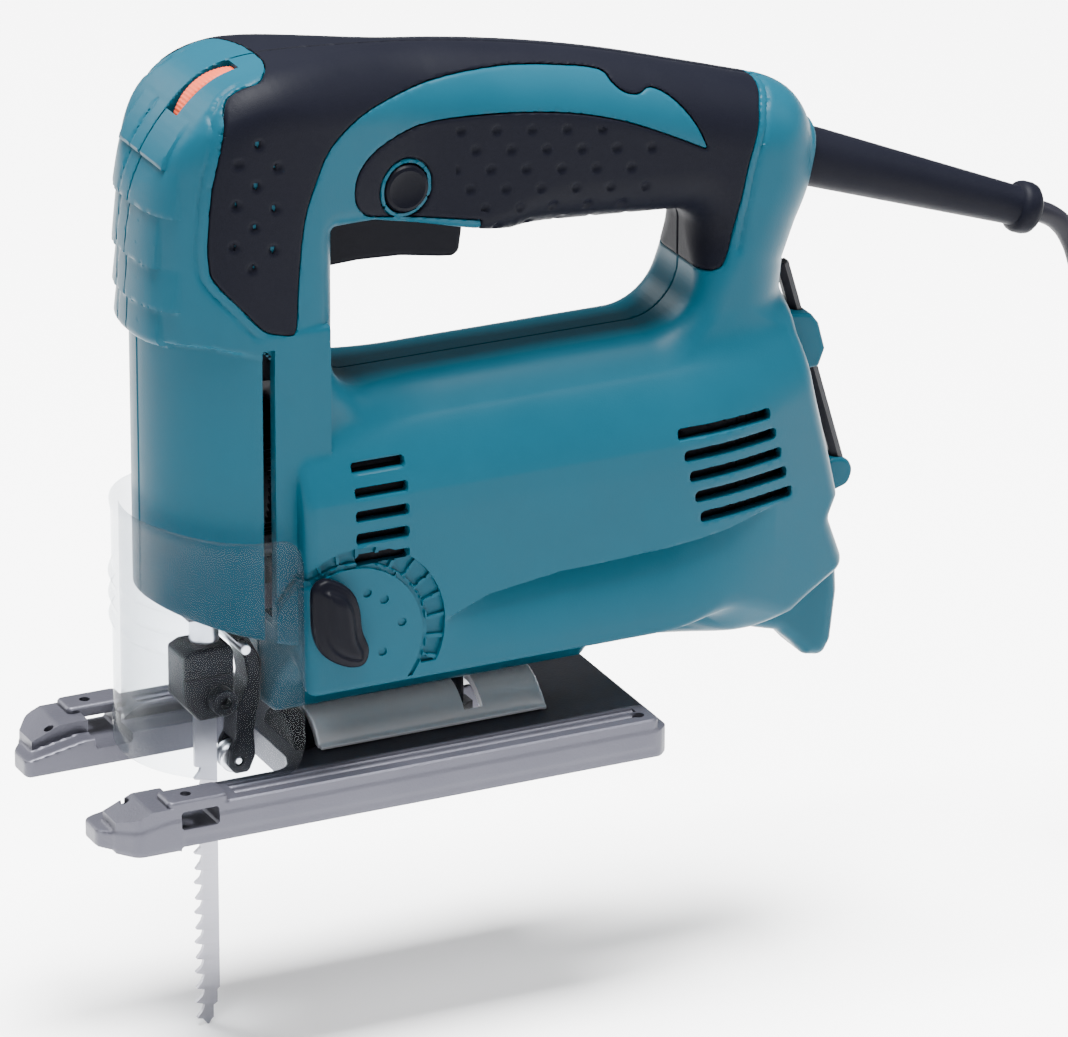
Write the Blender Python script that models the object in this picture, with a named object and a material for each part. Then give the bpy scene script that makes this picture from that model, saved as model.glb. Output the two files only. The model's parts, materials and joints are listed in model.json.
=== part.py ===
"""Orbital jigsaw, built from separate pieces with the drive train inside.

The blade side is -X, the operator's left side is -Y and +Z is up. The origin is
the middle of the sole, the flat underside of the base. Every size below is in
millimetres and becomes metres where a mesh is made.
"""
import bpy
import bmesh
from math import cos, sin, pi, radians, hypot, atan2
from mathutils import Vector

MM = 0.001
GAP = 0.3

# ---- driving dimensions ----
BASE_LENGTH = 159.0
BASE_WIDTH = 76.0
PLATE_TOP = 8.0
RAIL_TOP = 11.0
TILT_AXIS_Z = 4.0
SADDLE_RADIUS = 12.8

BODY_HALF_WIDTH = 31.0
BODY_FRONT = -22.0
NOSE_RADIUS = 26.0
NOSE_FRONT = -54.5
NOSE_TOP = 131.0
NOSE_BOTTOM = 50.0
WALL = 2.6
GRIP_DEPTH = 1.6

PLUNGER_X = -37.0
PLUNGER_RADIUS = 3.9
STROKE = 18.0
BLADE_TIP = -70.5
BUTTON_CENTRE = (12.4, 161.9)
DIAL_CENTRE = (-30.0, 180.6)
DIAL_RADIUS = 15.0
LEVER_PIVOT = (-12.5, 50.0)

GEAR_MODULE = 0.72
GEAR_TEETH = 50
PINION_TEETH = 10
MOTOR_Z = 64.0
GEAR_RADIUS = GEAR_MODULE * GEAR_TEETH / 2
PINION_RADIUS = GEAR_MODULE * PINION_TEETH / 2
GEAR_Z = MOTOR_Z + GEAR_RADIUS + PINION_RADIUS
CRANK_RADIUS = STROKE / 2
CRANK_PIN_RADIUS = 2.4
CRANK_ROLLER_RADIUS = 3.4
# A real crank follows a sine, so the yoke slot is taller than its roller by the
# most that the sine leaves a straight line.
YOKE_SLACK = 0.2105 * CRANK_RADIUS + GAP
ROLLER_CENTRE = (-29.4, 5.2)
ARM_PIVOT = (-28.4, 37.6)
GEAR_FRONT = -26.0
GEAR_BACK = -19.0

CORD_DIAMETER = 6.0
COIL_MEAN = 33.0
COIL_HALF = 9.6
COIL_CENTRE = (279.0, 0.0)
FLOOR_Z = BLADE_TIP

# ---- outlines, (x, z) pairs seen from the left side ----
BODY_OUTLINE = [
    (BODY_FRONT, 10), (68, 10), (70, 21), (112, 21), (128, 30), (142.5, 36), (136, 50),
    (139, 56), (136.5, 66), (131, 86), (126.6, 104), (126.6, 112), (BODY_FRONT, 112)]
OUTER_SECTION = [
    (0, 17.4), (7, 18.2), (9.2, 19.4), (13, 27.9), (22.2, 37), (28.4, 31.2), (29.3, 46),
    (BODY_HALF_WIDTH, 52), (BODY_HALF_WIDTH, 90), (12.5, 108.5), (0, 110)]
INNER_SECTION = [
    (0, 17.3), (5, 16.6), (16.3, 31.2), (21.9, 36.9), (29.5, 44.5), (BODY_HALF_WIDTH, 52),
    (BODY_HALF_WIDTH, 90), (12.5, 108.5), (0, 110)]
BARREL_OUTLINE = [
    (110, 27), (122, 18), (134, 8), (140.5, 10), (142.6, 30), (141, 39), (136, 48.5), (110, 48.5)]
BARREL_HALF_WIDTH = 9.0
# Stations along X of the head and of the handle bar: x, low z, high z, half width.
HEAD_STATIONS = [
    (-57.5, 129, 152, 8), (-56.3, 128.5, 163, 14), (-52, 128, 176, 19.5), (-45, 128, 187, 23.6),
    (-36.5, 128, 193.8, 26), (-27, 128, 196.8, 26.8), (-9, 128, 197, 24)]
HANDLE_STATIONS = [
    (-13, 150, 196.9, 23.5), (0, 150, 196.4, 21.2), (15, 146.5, 194.9, 17.8), (38, 144.5, 191.9, 17.5),
    (70, 141.2, 185.6, 17.5), (99, 139, 177.4, 17.5), (116, 128, 172, 17.5),
    (126, 130, 167.5, 16), (132, 135, 158, 11)]
# Stations along Z of the column behind the hand: z, front x, back x, half width.
COLUMN_STATIONS = [
    (96, 78, 126.6, 20), (104, 92, 126.4, 17.5), (115, 98.5, 126.7, 17), (130, 99.5, 128.7, 16.3),
    (139, 101, 131, 12.5), (148, 105, 123, 10.5)]
# Rubber over the top and the rear, and on the handle's side; a bare band runs between them.
GRIP_TOP = [
    (-44, 150), (-31, 133), (-21.5, 131), (-19, 160), (-15, 171), (-10.5, 178), (-1.5, 184),
    (12, 187), (43, 188), (60, 185.3), (73, 181), (84, 178), (91, 172.5), (97, 164), (99, 160),
    (97, 123.5), (101.5, 123.5), (104.5, 126), (106.5, 131.5), (109, 143.5), (111.5, 155),
    (114.6, 162.7), (116.1, 166.7), (118.7, 170.4), (121, 176), (121, 204), (-44, 204)]
GRIP_HANDLE = [
    (1.8, 156), (-3.4, 162), (-2.7, 168), (1.8, 173), (10, 176.6), (20, 178.5), (36, 178),
    (51, 176.3), (63, 174), (75, 170), (87, 165), (97.5, 160), (100.5, 158), (100.5, 133),
    (36, 133), (36, 149.5)]

MATERIALS = {
    "housing_teal": ((0.045, 0.21, 0.27), 0.45, 0.0),
    "grip_rubber": ((0.018, 0.02, 0.028), 0.75, 0.0),
    "cast_aluminium": ((0.42, 0.42, 0.43), 0.45, 0.9),
    "bright_steel": ((0.75, 0.75, 0.77), 0.3, 1.0),
    "dark_steel": ((0.06, 0.06, 0.065), 0.45, 0.8),
    "black_plastic": ((0.02, 0.02, 0.024), 0.5, 0.0),
    "orange_plastic": ((0.75, 0.12, 0.06), 0.45, 0.0),
    "clear_plastic": ((0.9, 0.92, 0.93), 0.08, 0.0),
    "copper": ((0.6, 0.25, 0.12), 0.35, 1.0),
    "bronze": ((0.5, 0.35, 0.15), 0.4, 1.0),
    "carbon": ((0.03, 0.03, 0.03), 0.7, 0.0),
    "blade_steel": ((0.62, 0.63, 0.66), 0.3, 1.0),
    "cord_rubber": ((0.03, 0.03, 0.035), 0.6, 0.0),
}


def clear_scene():
    for obj in list(bpy.data.objects):
        bpy.data.objects.remove(obj, do_unlink=True)


def material(name):
    """The shared look of a kind of material."""
    found = bpy.data.materials.get(name)
    if found:
        return found
    colour, roughness, metallic = MATERIALS[name]
    made = bpy.data.materials.new(name)
    made.use_nodes = True
    shader = made.node_tree.nodes["Principled BSDF"]
    shader.inputs["Base Color"].default_value = (*colour, 1.0)
    shader.inputs["Roughness"].default_value = roughness
    shader.inputs["Metallic"].default_value = metallic
    made.diffuse_color = (*colour, 1.0)
    return made


def add_mesh(name, points, faces, look=None):
    """A mesh object from points in millimetres, with its faces turned outwards."""
    mesh = bpy.data.meshes.new(name)
    mesh.from_pydata([Vector(p) * MM for p in points], [], faces)
    work = bmesh.new()
    work.from_mesh(mesh)
    bmesh.ops.recalc_face_normals(work, faces=work.faces)
    bmesh.ops.triangulate(work, faces=work.faces)
    work.to_mesh(mesh)
    work.free()
    obj = bpy.data.objects.new(name, mesh)
    bpy.context.scene.collection.objects.link(obj)
    if look:
        mesh.materials.append(material(look))
    return obj


def loft(name, rings, look=None):
    """A closed solid through rings that have the same number of points."""
    count = len(rings[0])
    points = [p for ring in rings for p in ring]
    faces = [list(range(count)), list(range(len(points) - count, len(points)))]
    for level in range(len(rings) - 1):
        for i in range(count):
            j = (i + 1) % count
            a, b = level * count, (level + 1) * count
            faces.append([a + i, a + j, b + j, b + i])
    return add_mesh(name, points, faces, look)


def place(axis, along, u, v):
    """A point from its place along an axis and its two coordinates across it."""
    if axis == "x":
        return (along, u, v)
    if axis == "y":
        return (u, along, v)
    return (u, v, along)


def prism(name, axis, outline, low, high, look=None):
    """An outline drawn across an axis and extruded along it."""
    rings = [[place(axis, t, u, v) for u, v in outline] for t in (low, high)]
    return loft(name, rings, look)


def circle(centre, radius, sides, turn=0.0):
    return [(centre[0] + radius * cos(turn + 2 * pi * i / sides),
             centre[1] + radius * sin(turn + 2 * pi * i / sides)) for i in range(sides)]


def rod(name, axis, centre, radius, low, high, sides=16, look=None):
    return prism(name, axis, circle(centre, radius, sides, pi / sides), low, high, look)


def turned(name, axis, centre, profile, sides=20, look=None):
    """A ring turned from a closed profile of (radius, along) pairs."""
    rings = []
    for i in range(sides):
        angle = 2 * pi * i / sides
        rings.append([place(axis, t, centre[0] + r * cos(angle), centre[1] + r * sin(angle))
                      for r, t in profile])
    count = len(profile)
    points = [p for ring in rings for p in ring]
    faces = []
    for i in range(sides):
        a, b = i * count, (i + 1) % sides * count
        for k in range(count):
            m = (k + 1) % count
            faces.append([a + k, a + m, b + m, b + k])
    return add_mesh(name, points, faces, look)


def ring(name, axis, centre, inner, outer, low, high, sides=20, look=None):
    return turned(name, axis, centre, [(inner, low), (outer, low), (outer, high), (inner, high)],
                  sides, look)


def box(name, low, high, look=None):
    outline = [(low[0], low[1]), (high[0], low[1]), (high[0], high[1]), (low[0], high[1])]
    return prism(name, "z", outline, low[2], high[2], look)


def combine(target, tool, operation):
    """Applies one Boolean to a solid and removes the tool."""
    modifier = target.modifiers.new(operation, "BOOLEAN")
    modifier.operation = operation
    modifier.solver = "EXACT"
    modifier.object = tool
    graph = bpy.context.evaluated_depsgraph_get()
    result = bpy.data.meshes.new_from_object(target.evaluated_get(graph))
    target.modifiers.clear()
    target.data = result
    bpy.data.objects.remove(tool, do_unlink=True)
    return target


def cut(target, *tools):
    for tool in tools:
        combine(target, tool, "DIFFERENCE")
    return target


def gather(name, tools):
    """One object out of tools that don't touch each other, to be used in one Boolean."""
    points, faces = [], []
    for tool in tools:
        start = len(points)
        points += [tuple(v.co / MM) for v in tool.data.vertices]
        faces += [[start + i for i in face.vertices] for face in tool.data.polygons]
        bpy.data.objects.remove(tool, do_unlink=True)
    return add_mesh(name, points, faces)


def join(target, *tools):
    for tool in tools:
        combine(target, tool, "UNION")
    return target


def common(target, *tools):
    for tool in tools:
        combine(target, tool, "INTERSECT")
    return target


def copy_of(source, name):
    obj = bpy.data.objects.new(name, source.data.copy())
    bpy.context.scene.collection.objects.link(obj)
    return obj


def finish(obj, look):
    """Gives a solid that came out of Booleans its one look, and cleans its mesh."""
    work = bmesh.new()
    work.from_mesh(obj.data)
    bmesh.ops.remove_doubles(work, verts=work.verts, dist=1e-6)
    bmesh.ops.dissolve_degenerate(work, edges=work.edges, dist=1e-6)
    bmesh.ops.dissolve_limit(work, angle_limit=radians(0.2), verts=work.verts, edges=work.edges)
    bmesh.ops.triangulate(work, faces=work.faces)
    work.to_mesh(obj.data)
    work.free()
    obj.data.materials.clear()
    obj.data.materials.append(material(look))
    return obj


def set_origin(obj, point):
    """Moves an object's origin to a point without moving its shape."""
    shift = Vector(point) * MM
    for vertex in obj.data.vertices:
        vertex.co -= shift
    obj.location = shift
    return obj


def inset_outline(points, distance):
    """The outline moved inwards by a distance, with mitred corners."""
    area = sum(points[i - 1][0] * points[i][1] - points[i][0] * points[i - 1][1]
               for i in range(len(points)))
    side = 1 if area > 0 else -1
    moved = []
    for i, point in enumerate(points):
        before, after = points[i - 1], points[(i + 1) % len(points)]
        d1 = (point[0] - before[0], point[1] - before[1])
        d2 = (after[0] - point[0], after[1] - point[1])
        n1 = (-d1[1] / hypot(*d1) * side, d1[0] / hypot(*d1) * side)
        n2 = (-d2[1] / hypot(*d2) * side, d2[0] / hypot(*d2) * side)
        scale = distance / (1 + n1[0] * n2[0] + n1[1] * n2[1])
        moved.append((point[0] + (n1[0] + n2[0]) * scale, point[1] + (n1[1] + n2[1]) * scale))
    return moved


def bar_ring(x, low, high, half, depth):
    """One cross-section of the handle bar: an upright octagon, depth inside its skin."""
    low, high, half = low + depth, high - depth, half - depth
    corner = 0.55 * half
    right = [(half - corner, low), (half, low + corner), (half, high - corner),
             (half - corner, high)]
    left = [(-y, z) for y, z in reversed(right)]
    return [(x, y, z) for y, z in right + left]


def bar(name, stations, depth):
    rings = []
    for i, (x, low, high, half) in enumerate(stations):
        shift = depth if i == 0 else -depth if i == len(stations) - 1 else 0
        rings.append(bar_ring(x + shift, low, high, half, depth))
    return loft(name, rings)


def column(name, depth):
    rings = []
    for z, front, back, half in COLUMN_STATIONS:
        front, back, half = front + depth, back - depth, half - depth
        corner = 0.5 * half
        right = [(front, half - corner), (front + corner, half), (back - corner, half),
                 (back, half - corner)]
        rings.append([(x, y, z) for x, y in right + [(x, -y) for x, y in reversed(right)]])
    return loft(name, rings)


def nose_outline(depth, sides=14, back=-9.0):
    """The plan of the nose: a half round in front of straight sides."""
    radius = NOSE_RADIUS - depth
    centre = NOSE_FRONT + NOSE_RADIUS
    arc = [(centre + radius * cos(pi / 2 + pi * i / sides), radius * sin(pi / 2 + pi * i / sides))
           for i in range(sides + 1)]
    return [(back - depth, radius)] + arc + [(back - depth, -radius)]


def outer_solid(name, depth):
    """The whole tool body, moved inwards by a depth: motor case, nose, head and handle."""
    half_section = OUTER_SECTION if depth == 0 else INNER_SECTION
    section = half_section + [(-y, z) for y, z in reversed(half_section[1:-1])]
    body = prism(name, "x", inset_outline(section, depth), -60, 160)
    common(body, prism("side", "y", inset_outline(BODY_OUTLINE, depth), -60, 60))
    half = BODY_HALF_WIDTH - depth
    slope = [(-60, half), (96, half), (160, 12 - depth), (160, -12 + depth), (96, -half),
             (-60, -half)]
    common(body, prism("plan", "z", slope, 0, 200))
    half = BARREL_HALF_WIDTH - depth
    barrel = prism("barrel", "y", inset_outline(BARREL_OUTLINE, depth), -half, half)
    nose_low = NOSE_BOTTOM if depth == 0 else NOSE_BOTTOM - 4
    nose = prism("nose", "z", nose_outline(depth), nose_low, NOSE_TOP - depth)
    join(body, barrel, nose, bar("head", HEAD_STATIONS, depth),
         bar("handle", HANDLE_STATIONS, depth), column("column", depth))
    return body


def hollow(name):
    """The inside of the shell, with the passages between its rooms."""
    inside = outer_solid(name, WALL + GRIP_DEPTH)
    return join(inside, box("throat", (-47, -17, 118), (-15, 17, 141)),
                box("neck", (-21, -12, 156), (2, 12, 187)),
                box("link", (107, -7, 134), (119, 7, 153)))


def grip_region(name, margin):
    """The part of the shell that rubber covers, as an upright slab grown by a margin."""
    slab = prism(name, "y", inset_outline(GRIP_TOP, -margin), -60, 60)
    return join(slab, prism("part", "y", inset_outline(GRIP_HANDLE, -margin), -60.5, 60.5))


# Housing screws: x, z and the y of the seat under the head, all put in from the right.
SCREWS = [(-13.2, 142, 21.0), (116, 155, 13.6), (109.5, 106, 13.6), (101, 46, 23.8), (-13, 40, 18.4),
          (64, 98, 15.8)]
BOSS_RADIUS = 3.6
SCREW_RADIUS = 1.5
SCREW_HEAD_RADIUS = 2.9


def build_housing():
    """Two shells that meet on the middle plane, and the rubber moulded onto each."""
    shell = outer_solid("shell", 0.0)
    cavity = hollow("cavity")
    grip = outer_solid("grip", 0.0)
    cut(grip, outer_solid("grip_floor", GRIP_DEPTH - GAP))
    common(grip, grip_region("grip_area", 0.0))
    recess = outer_solid("recess", -2.0)
    cut(recess, outer_solid("recess_floor", GRIP_DEPTH))
    common(recess, grip_region("recess_area", GAP))
    cut(shell, cavity, recess)
    join(shell, gather("bosses", [rod("boss", "y", (x, z), BOSS_RADIUS, -seat - 1.3, seat + 1.3, 10)
                                  for x, z, seat in SCREWS]))
    openings = [
        prism("nose_mouth", "y", [(-70, 59), (-70, 30), (-22.8, 30), (-22.8, 53)], -23.35, 23.35),
        box("trigger_slot", (-7.6, -7, 140), (34.8, 7, 156)),
        rod("button_hole", "y", BUTTON_CENTRE, 6.8, -30, -10, 20),
        rod("dial_slot", "y", DIAL_CENTRE, DIAL_RADIUS + 2 * GAP, -6.9, 0, 28),
        rod("lever_hole", "y", LEVER_PIVOT, 4.4, -40, -20, 16),
        rod("bolt_hole", "z", (35, 0), 2.4, 10, 26, 12),
    ]
    for row in range(5):
        top = 68.8 + 6.1 * row
        openings.append(box("vent_front", (-7.4, -40, top - 2.9), (7.4, 40, top)))
        top, left, right = 64 + 5.95 * row, 91.4 - 1.65 * row, 121.5 - 1.95 * row
        openings.append(box("vent_rear", (left, -40, top - 3.3), (right, 40, top)))
    for x, z, seat in SCREWS:
        openings.append(loft("screw_hole", [
            [place("y", along, u, v) for u, v in circle((x, z), radius, 10, 0.2)]
            for along, radius in ((-9, SCREW_RADIUS + GAP), (seat, SCREW_RADIUS + GAP),
                                  (seat + 0.02, SCREW_HEAD_RADIUS + GAP),
                                  (40, SCREW_HEAD_RADIUS + GAP))]))
    openings.append(guard_solid("guard_seat", GAP))
    cut(shell, gather("openings", openings))
    cut(grip, rod("button_clear", "y", BUTTON_CENTRE, 7.2, -30, -10, 20),
        box("dial_clear", (-48, -7.4, 170), (-12, 0, 205)))
    for side, low, high in (("left", -60, -GAP / 2), ("right", GAP / 2, 60)):
        for source, name, look in ((shell, "housing_", "housing_teal"),
                                   (grip, "grip_", "grip_rubber")):
            half = common(copy_of(source, name + side), box("half", (-99, low, -21), (201, high, 221)))
            finish(half, look)
    bpy.data.objects.remove(shell, do_unlink=True)
    bpy.data.objects.remove(grip, do_unlink=True)


KEY_START = Vector((129.5, 0, 117.6))
KEY_DIRECTION = Vector((18.0, 0, -60.9)).normalized()
KEY_LENGTH = 64.0
KEY_RADIUS = 2.0


def build_key_holder():
    """Clip block and lower hook that hold the hex key behind the body."""
    blocks = (
        ("key_clip", [(127.1, 105), (136.2, 103.4), (138.4, 100.5), (140.4, 93), (138.6, 88.2),
                      (131.2, 87.6)], 5.5),
        ("key_hook", [(139.6, 56.6), (144, 60.3), (149, 59.2), (150.4, 56), (149, 52.6),
                      (143.5, 50.6), (138.6, 52.4)], 3.6))
    for name, outline, half in blocks:
        block = prism(name, "y", outline, -half, half)
        cut(block, key_rod("bore", KEY_RADIUS + GAP, -10, 80, 8))
        finish(block, "housing_teal")


def key_rod(name, radius, low, high, sides, look=None):
    """A rod along the slanted line of the hex key."""
    across = Vector((KEY_DIRECTION.z, 0, -KEY_DIRECTION.x))
    rings = []
    for along in (low, high):
        middle = KEY_START + KEY_DIRECTION * along
        rings.append([middle + across * (radius * cos(2 * pi * i / sides))
                      + Vector((0, radius * sin(2 * pi * i / sides), 0)) for i in range(sides)])
    return loft(name, rings, look)


def build_hex_key():
    set_origin(key_rod("hex_key", KEY_RADIUS, 0, KEY_LENGTH, 6, "dark_steel"), KEY_START)


GUARD_START = Vector((131.0, 0.0, 148.2))
GUARD_END = Vector((204.7, 0.0, 120.4))


def guard_solid(name, margin):
    """Rubber bend protector of the cord: a taper with a collar at its tip."""
    direction = (GUARD_END - GUARD_START).normalized()
    length = (GUARD_END - GUARD_START).length
    across = Vector((-direction.z, 0, direction.x))
    profile = [(0, 8.0), (10, 7.7), (length - 6, 5.4), (length - 5.5, 7.1), (length - 1.5, 7.1),
               (length, 5.4)]
    rings = []
    for along, radius in profile:
        radius += margin
        rings.append([GUARD_START + direction * (along - margin) + across * (radius * cos(pi * i / 7))
                      + Vector((0, radius * sin(pi * i / 7), 0)) for i in range(14)])
    return loft(name, rings)


def build_guard():
    finish(guard_solid("cord_guard", 0.0), "grip_rubber")


def gear_outline(teeth, centre, turn):
    """A toothed outline: straight flanks, thinner than half the pitch for backlash."""
    pitch = GEAR_MODULE * teeth / 2
    tip, root = pitch + 0.65 * GEAR_MODULE, pitch - 0.95 * GEAR_MODULE
    points = []
    step = 2 * pi / teeth
    tip_half = 0.13 * step * min(1.0, 0.6 + teeth / 60)
    root_half = 0.27 * step
    for i in range(teeth):
        middle = turn + i * step
        for radius, angle in ((root, -root_half), (tip, -tip_half), (tip, tip_half),
                              (root, root_half)):
            points.append((centre[0] + radius * cos(middle + angle),
                           centre[1] + radius * sin(middle + angle)))
    return points


def build_drive():
    """Armature with its pinion, the large gear with its crank, and the yoke."""
    centre = (0.0, MOTOR_Z)
    gear = prism("drive_gear", "x", gear_outline(GEAR_TEETH, (0, GEAR_Z), pi / 2),
                 GEAR_FRONT, GEAR_BACK)
    cut(gear, rod("bore", "x", (0, GEAR_Z), 4.3, -40, 0, 16))
    set_origin(finish(gear, "dark_steel"), (0, 0, GEAR_Z))
    rod("gear_shaft", "x", (0, GEAR_Z), 4.0, -27.4, -18.6, 16, "bright_steel")
    rod("crank_pin", "x", (CRANK_RADIUS, GEAR_Z), CRANK_PIN_RADIUS, -32.7, GEAR_FRONT - GAP, 12,
        "bright_steel")
    ring("crank_roller", "x", (CRANK_RADIUS, GEAR_Z), CRANK_PIN_RADIUS + GAP, CRANK_ROLLER_RADIUS,
         -32.6, -28.4, 14, "bright_steel")
    shaft = rod("armature_shaft", "x", centre, 3.0, -18.9, 112.0, 12)
    join(shaft, prism("pinion", "x", gear_outline(PINION_TEETH, centre, pi / 2 + pi / PINION_TEETH),
                      -27.0, -18.5))
    set_origin(finish(shaft, "bright_steel"), (0, 0, MOTOR_Z))
    ring("armature_core", "x", centre, 3.3, 16.5, 28, 72, 24, "dark_steel")
    ring("armature_winding", "x", centre, 3.3, 13.0, 72.3, 79, 20, "copper")
    ring("commutator", "x", centre, 3.3, 11.0, 80, 94, 20, "copper")
    fan = ring("fan", "x", centre, 3.3, 24.0, 8, 10, 24)
    for i in range(9):
        blade = box("vane", (9.5, -0.7, 7), (17, 0.7, 22.5))
        blade.rotation_euler = (2 * pi * i / 9, 0, 0)
        blade.location = (0, 0, MOTOR_Z * MM)
        bpy.context.view_layer.update()
        join(fan, blade)
    finish(fan, "black_plastic")
    ring("bearing_front", "x", centre, 3.3, 9.5, -15.0, -8.0, 20, "bright_steel")
    ring("bearing_rear", "x", centre, 3.3, 9.5, 103, 110, 20, "bright_steel")
    ring("field_core", "x", centre, 17.2, 26.4, 28, 72, 24, "dark_steel")
    ring("field_coil_front", "x", centre, 17.4, 24.5, 21.5, 27.7, 20, "copper")
    ring("field_coil_rear", "x", centre, 17.4, 24.5, 72.3, 78.5, 20, "copper")
    ring("fan_baffle", "x", centre, 14.0, 25.6, 18.2, 20.2, 20, "black_plastic")
    for side, sign in (("left", -1), ("right", 1)):
        low, high = sorted((sign * 11.4, sign * 22.0))
        box("brush_" + side, (84, low, MOTOR_Z - 2.5), (90, high, MOTOR_Z + 2.5), "carbon")
        low, high = sorted((sign * 13.0, sign * 26.0))
        holder = box("brush_holder_" + side, (82, low, MOTOR_Z - 4.5), (92, high, MOTOR_Z + 4.5))
        low, high = sorted((sign * 12.0, sign * 24.5))
        cut(holder, box("pocket", (83.7, low, MOTOR_Z - 2.8), (90.3, high, MOTOR_Z + 2.8)))
        finish(holder, "bronze")


def build_gear_housing():
    """Inner frame: a rear plate with two shelves that carry the plunger's bushes."""
    frame = box("gear_housing", (-18.3, -20, 49), (-15.3, 20, 116))
    join(frame, box("low_shelf", (-45, -9, 48.9), (-15.5, 9, 56)),
         box("high_shelf", (-45, -9, 112), (-15.5, 9, 119)))
    cut(frame, rod("low_seat", "z", (PLUNGER_X, 0), 6.3, 40, 60, 16),
        rod("high_seat", "z", (PLUNGER_X, 0), 6.3, 105, 125, 16),
        rod("pinion_hole", "x", (0, MOTOR_Z), 5.6, -25, 0, 16))
    finish(frame, "cast_aluminium")
    for name, low, high in (("bush_lower", 49.3, 55.7), ("bush_upper", 112.3, 118.7)):
        ring(name, "z", (PLUNGER_X, 0), PLUNGER_RADIUS + GAP, 6.0, low, high, 16, "bronze")


def build_plunger():
    """The plunger rod with its slotted yoke, and the clamp and blade it carries."""
    plunger = rod("plunger", "z", (PLUNGER_X, 0), PLUNGER_RADIUS, 39.3, 130, 16)
    join(plunger, box("yoke", (-35.0, -16.5, GEAR_Z - 9.5), (-28.0, 16.5, GEAR_Z + 9.5)))
    half = CRANK_ROLLER_RADIUS + YOKE_SLACK
    cut(plunger, box("yoke_slot", (-33.0, -13.2, GEAR_Z - half), (-20, 13.2, GEAR_Z + half)))
    finish(plunger, "bright_steel")
    clamp = prism("blade_clamp", "y",
                  [(-45, 37.5), (-42, 39), (-32, 39), (-31, 37), (-31, 21), (-33, 19), (-41, 19),
                   (-45, 24)], -6, 6)
    cut(clamp, box("blade_slot", (-41, -1.0, 10), (-33, 1.0, 33)),
        rod("bolt_seat", "y", (-35.5, 25), 2.2, -10, -0.5, 12))
    finish(clamp, "dark_steel")
    head = rod("clamp_bolt", "y", (-35.5, 25), 3.6, -10.5, -6.3, 12)
    join(head, rod("bolt_shank", "y", (-35.5, 25), 1.8, -6.5, -1.4, 10))
    cut(head, rod("socket", "y", (-35.5, 25), 1.7, -11, -8, 6))
    finish(head, "dark_steel")
    blade_points = [(-34.0, 32.0), (-34.0, -62.0), (-37.0, BLADE_TIP), (-37.6, BLADE_TIP)]
    teeth, pitch = 22, 3.1
    for i in range(teeth):
        z = BLADE_TIP + 1.5 + pitch * i
        blade_points += [(-40.6, z + 0.9), (-38.6, z + 1.1)]
    blade_points += [(-40.2, BLADE_TIP + 3.0 + pitch * teeth), (-40.2, 32.0)]
    prism("blade", "y", blade_points, -0.65, 0.65, "blade_steel")


def build_roller_guide():
    """The arm behind the blade, its pivot pin and the grooved roller."""
    outline = [(-30.5, 40), (-26.5, 40), (-22.8, 33), (-23.2, 22), (-25, 13), (-24.6, 6),
               (-26.5, 1.6), (-30.5, 1.6), (-32.2, 4), (-31.6, 8.6), (-30.2, 11), (-29.6, 20),
               (-26.4, 27), (-27.4, 33.5)]
    arm = prism("roller_arm", "y", outline, -4.6, 4.6)
    cut(arm, rod("pin_hole", "y", ARM_PIVOT, 1.7, -10, 10, 12),
        box("roller_slot", (-34, -2.6, 0), (-22, 2.6, 10.6)),
        rod("axle_hole", "y", ROLLER_CENTRE, 1.3, -10, 10, 10))
    set_origin(finish(arm, "dark_steel"), (ARM_PIVOT[0], 0, ARM_PIVOT[1]))
    rod("roller_arm_pin", "y", ARM_PIVOT, 1.4, -7.5, 7.5, 12, "bright_steel")
    rod("roller_axle", "y", ROLLER_CENTRE, 1.0, -4.4, 4.4, 10, "bright_steel")
    ring("guide_roller", "y", ROLLER_CENTRE, 1.4, 4.1, -2.2, 2.2, 16, "bright_steel")


def build_controls():
    """Trigger with its switch, lock-on button, speed dial and orbital lever."""
    trigger = prism("trigger", "y",
                    [(-7.0, 152), (-7.0, 140.6), (-5.6, 138.8), (4.7, 139), (16.8, 138.4),
                     (28, 136.6), (31.6, 136.2), (33.4, 137.6), (34.2, 143.5), (34.2, 152)],
                    -6.4, 6.4)
    finish(trigger, "black_plastic")
    box("switch", (3, -7.5, 158.5), (44, 7.5, 181), "black_plastic")
    rod("lock_button", "y", BUTTON_CENTRE, 6.2, -19.8, -11.2, 20, "black_plastic")
    dial = turned("speed_dial", "y", DIAL_CENTRE,
                  [(2.2, -6.3), (DIAL_RADIUS, -6.3), (DIAL_RADIUS, -0.8), (2.2, -0.8)], 28,
                  "orange_plastic")
    set_origin(dial, (DIAL_CENTRE[0], -3.55, DIAL_CENTRE[1]))
    rod("dial_shaft", "y", DIAL_CENTRE, 1.9, -14, 3, 12, "black_plastic")
    knob = prism("orbital_lever", "y",
                 [(-21.3, 63.2), (-17, 65.4), (-10.6, 61.3), (-8, 56.6), (-6.9, 48.9), (-5.4, 44.3),
                  (-8.3, 39.8), (-13.7, 41.5), (-18, 44.5), (-21.3, 50)], -38, -31.6)
    join(knob, rod("lever_shaft", "y", LEVER_PIVOT, 3.8, -33, -23.5, 16))
    set_origin(finish(knob, "black_plastic"), (LEVER_PIVOT[0], -31, LEVER_PIVOT[1]))


def build_dust_cover():
    """Clear guard around the nose, open behind and below."""
    outer = nose_outline(-5.5, 16, -27.9)
    inner = nose_outline(-3.5, 16, -20)
    cover = prism("dust_cover", "z", outer, 11.4, 79)
    cut(cover, prism("hollow", "z", inner, 5, 90))
    finish(cover, "clear_plastic")


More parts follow.
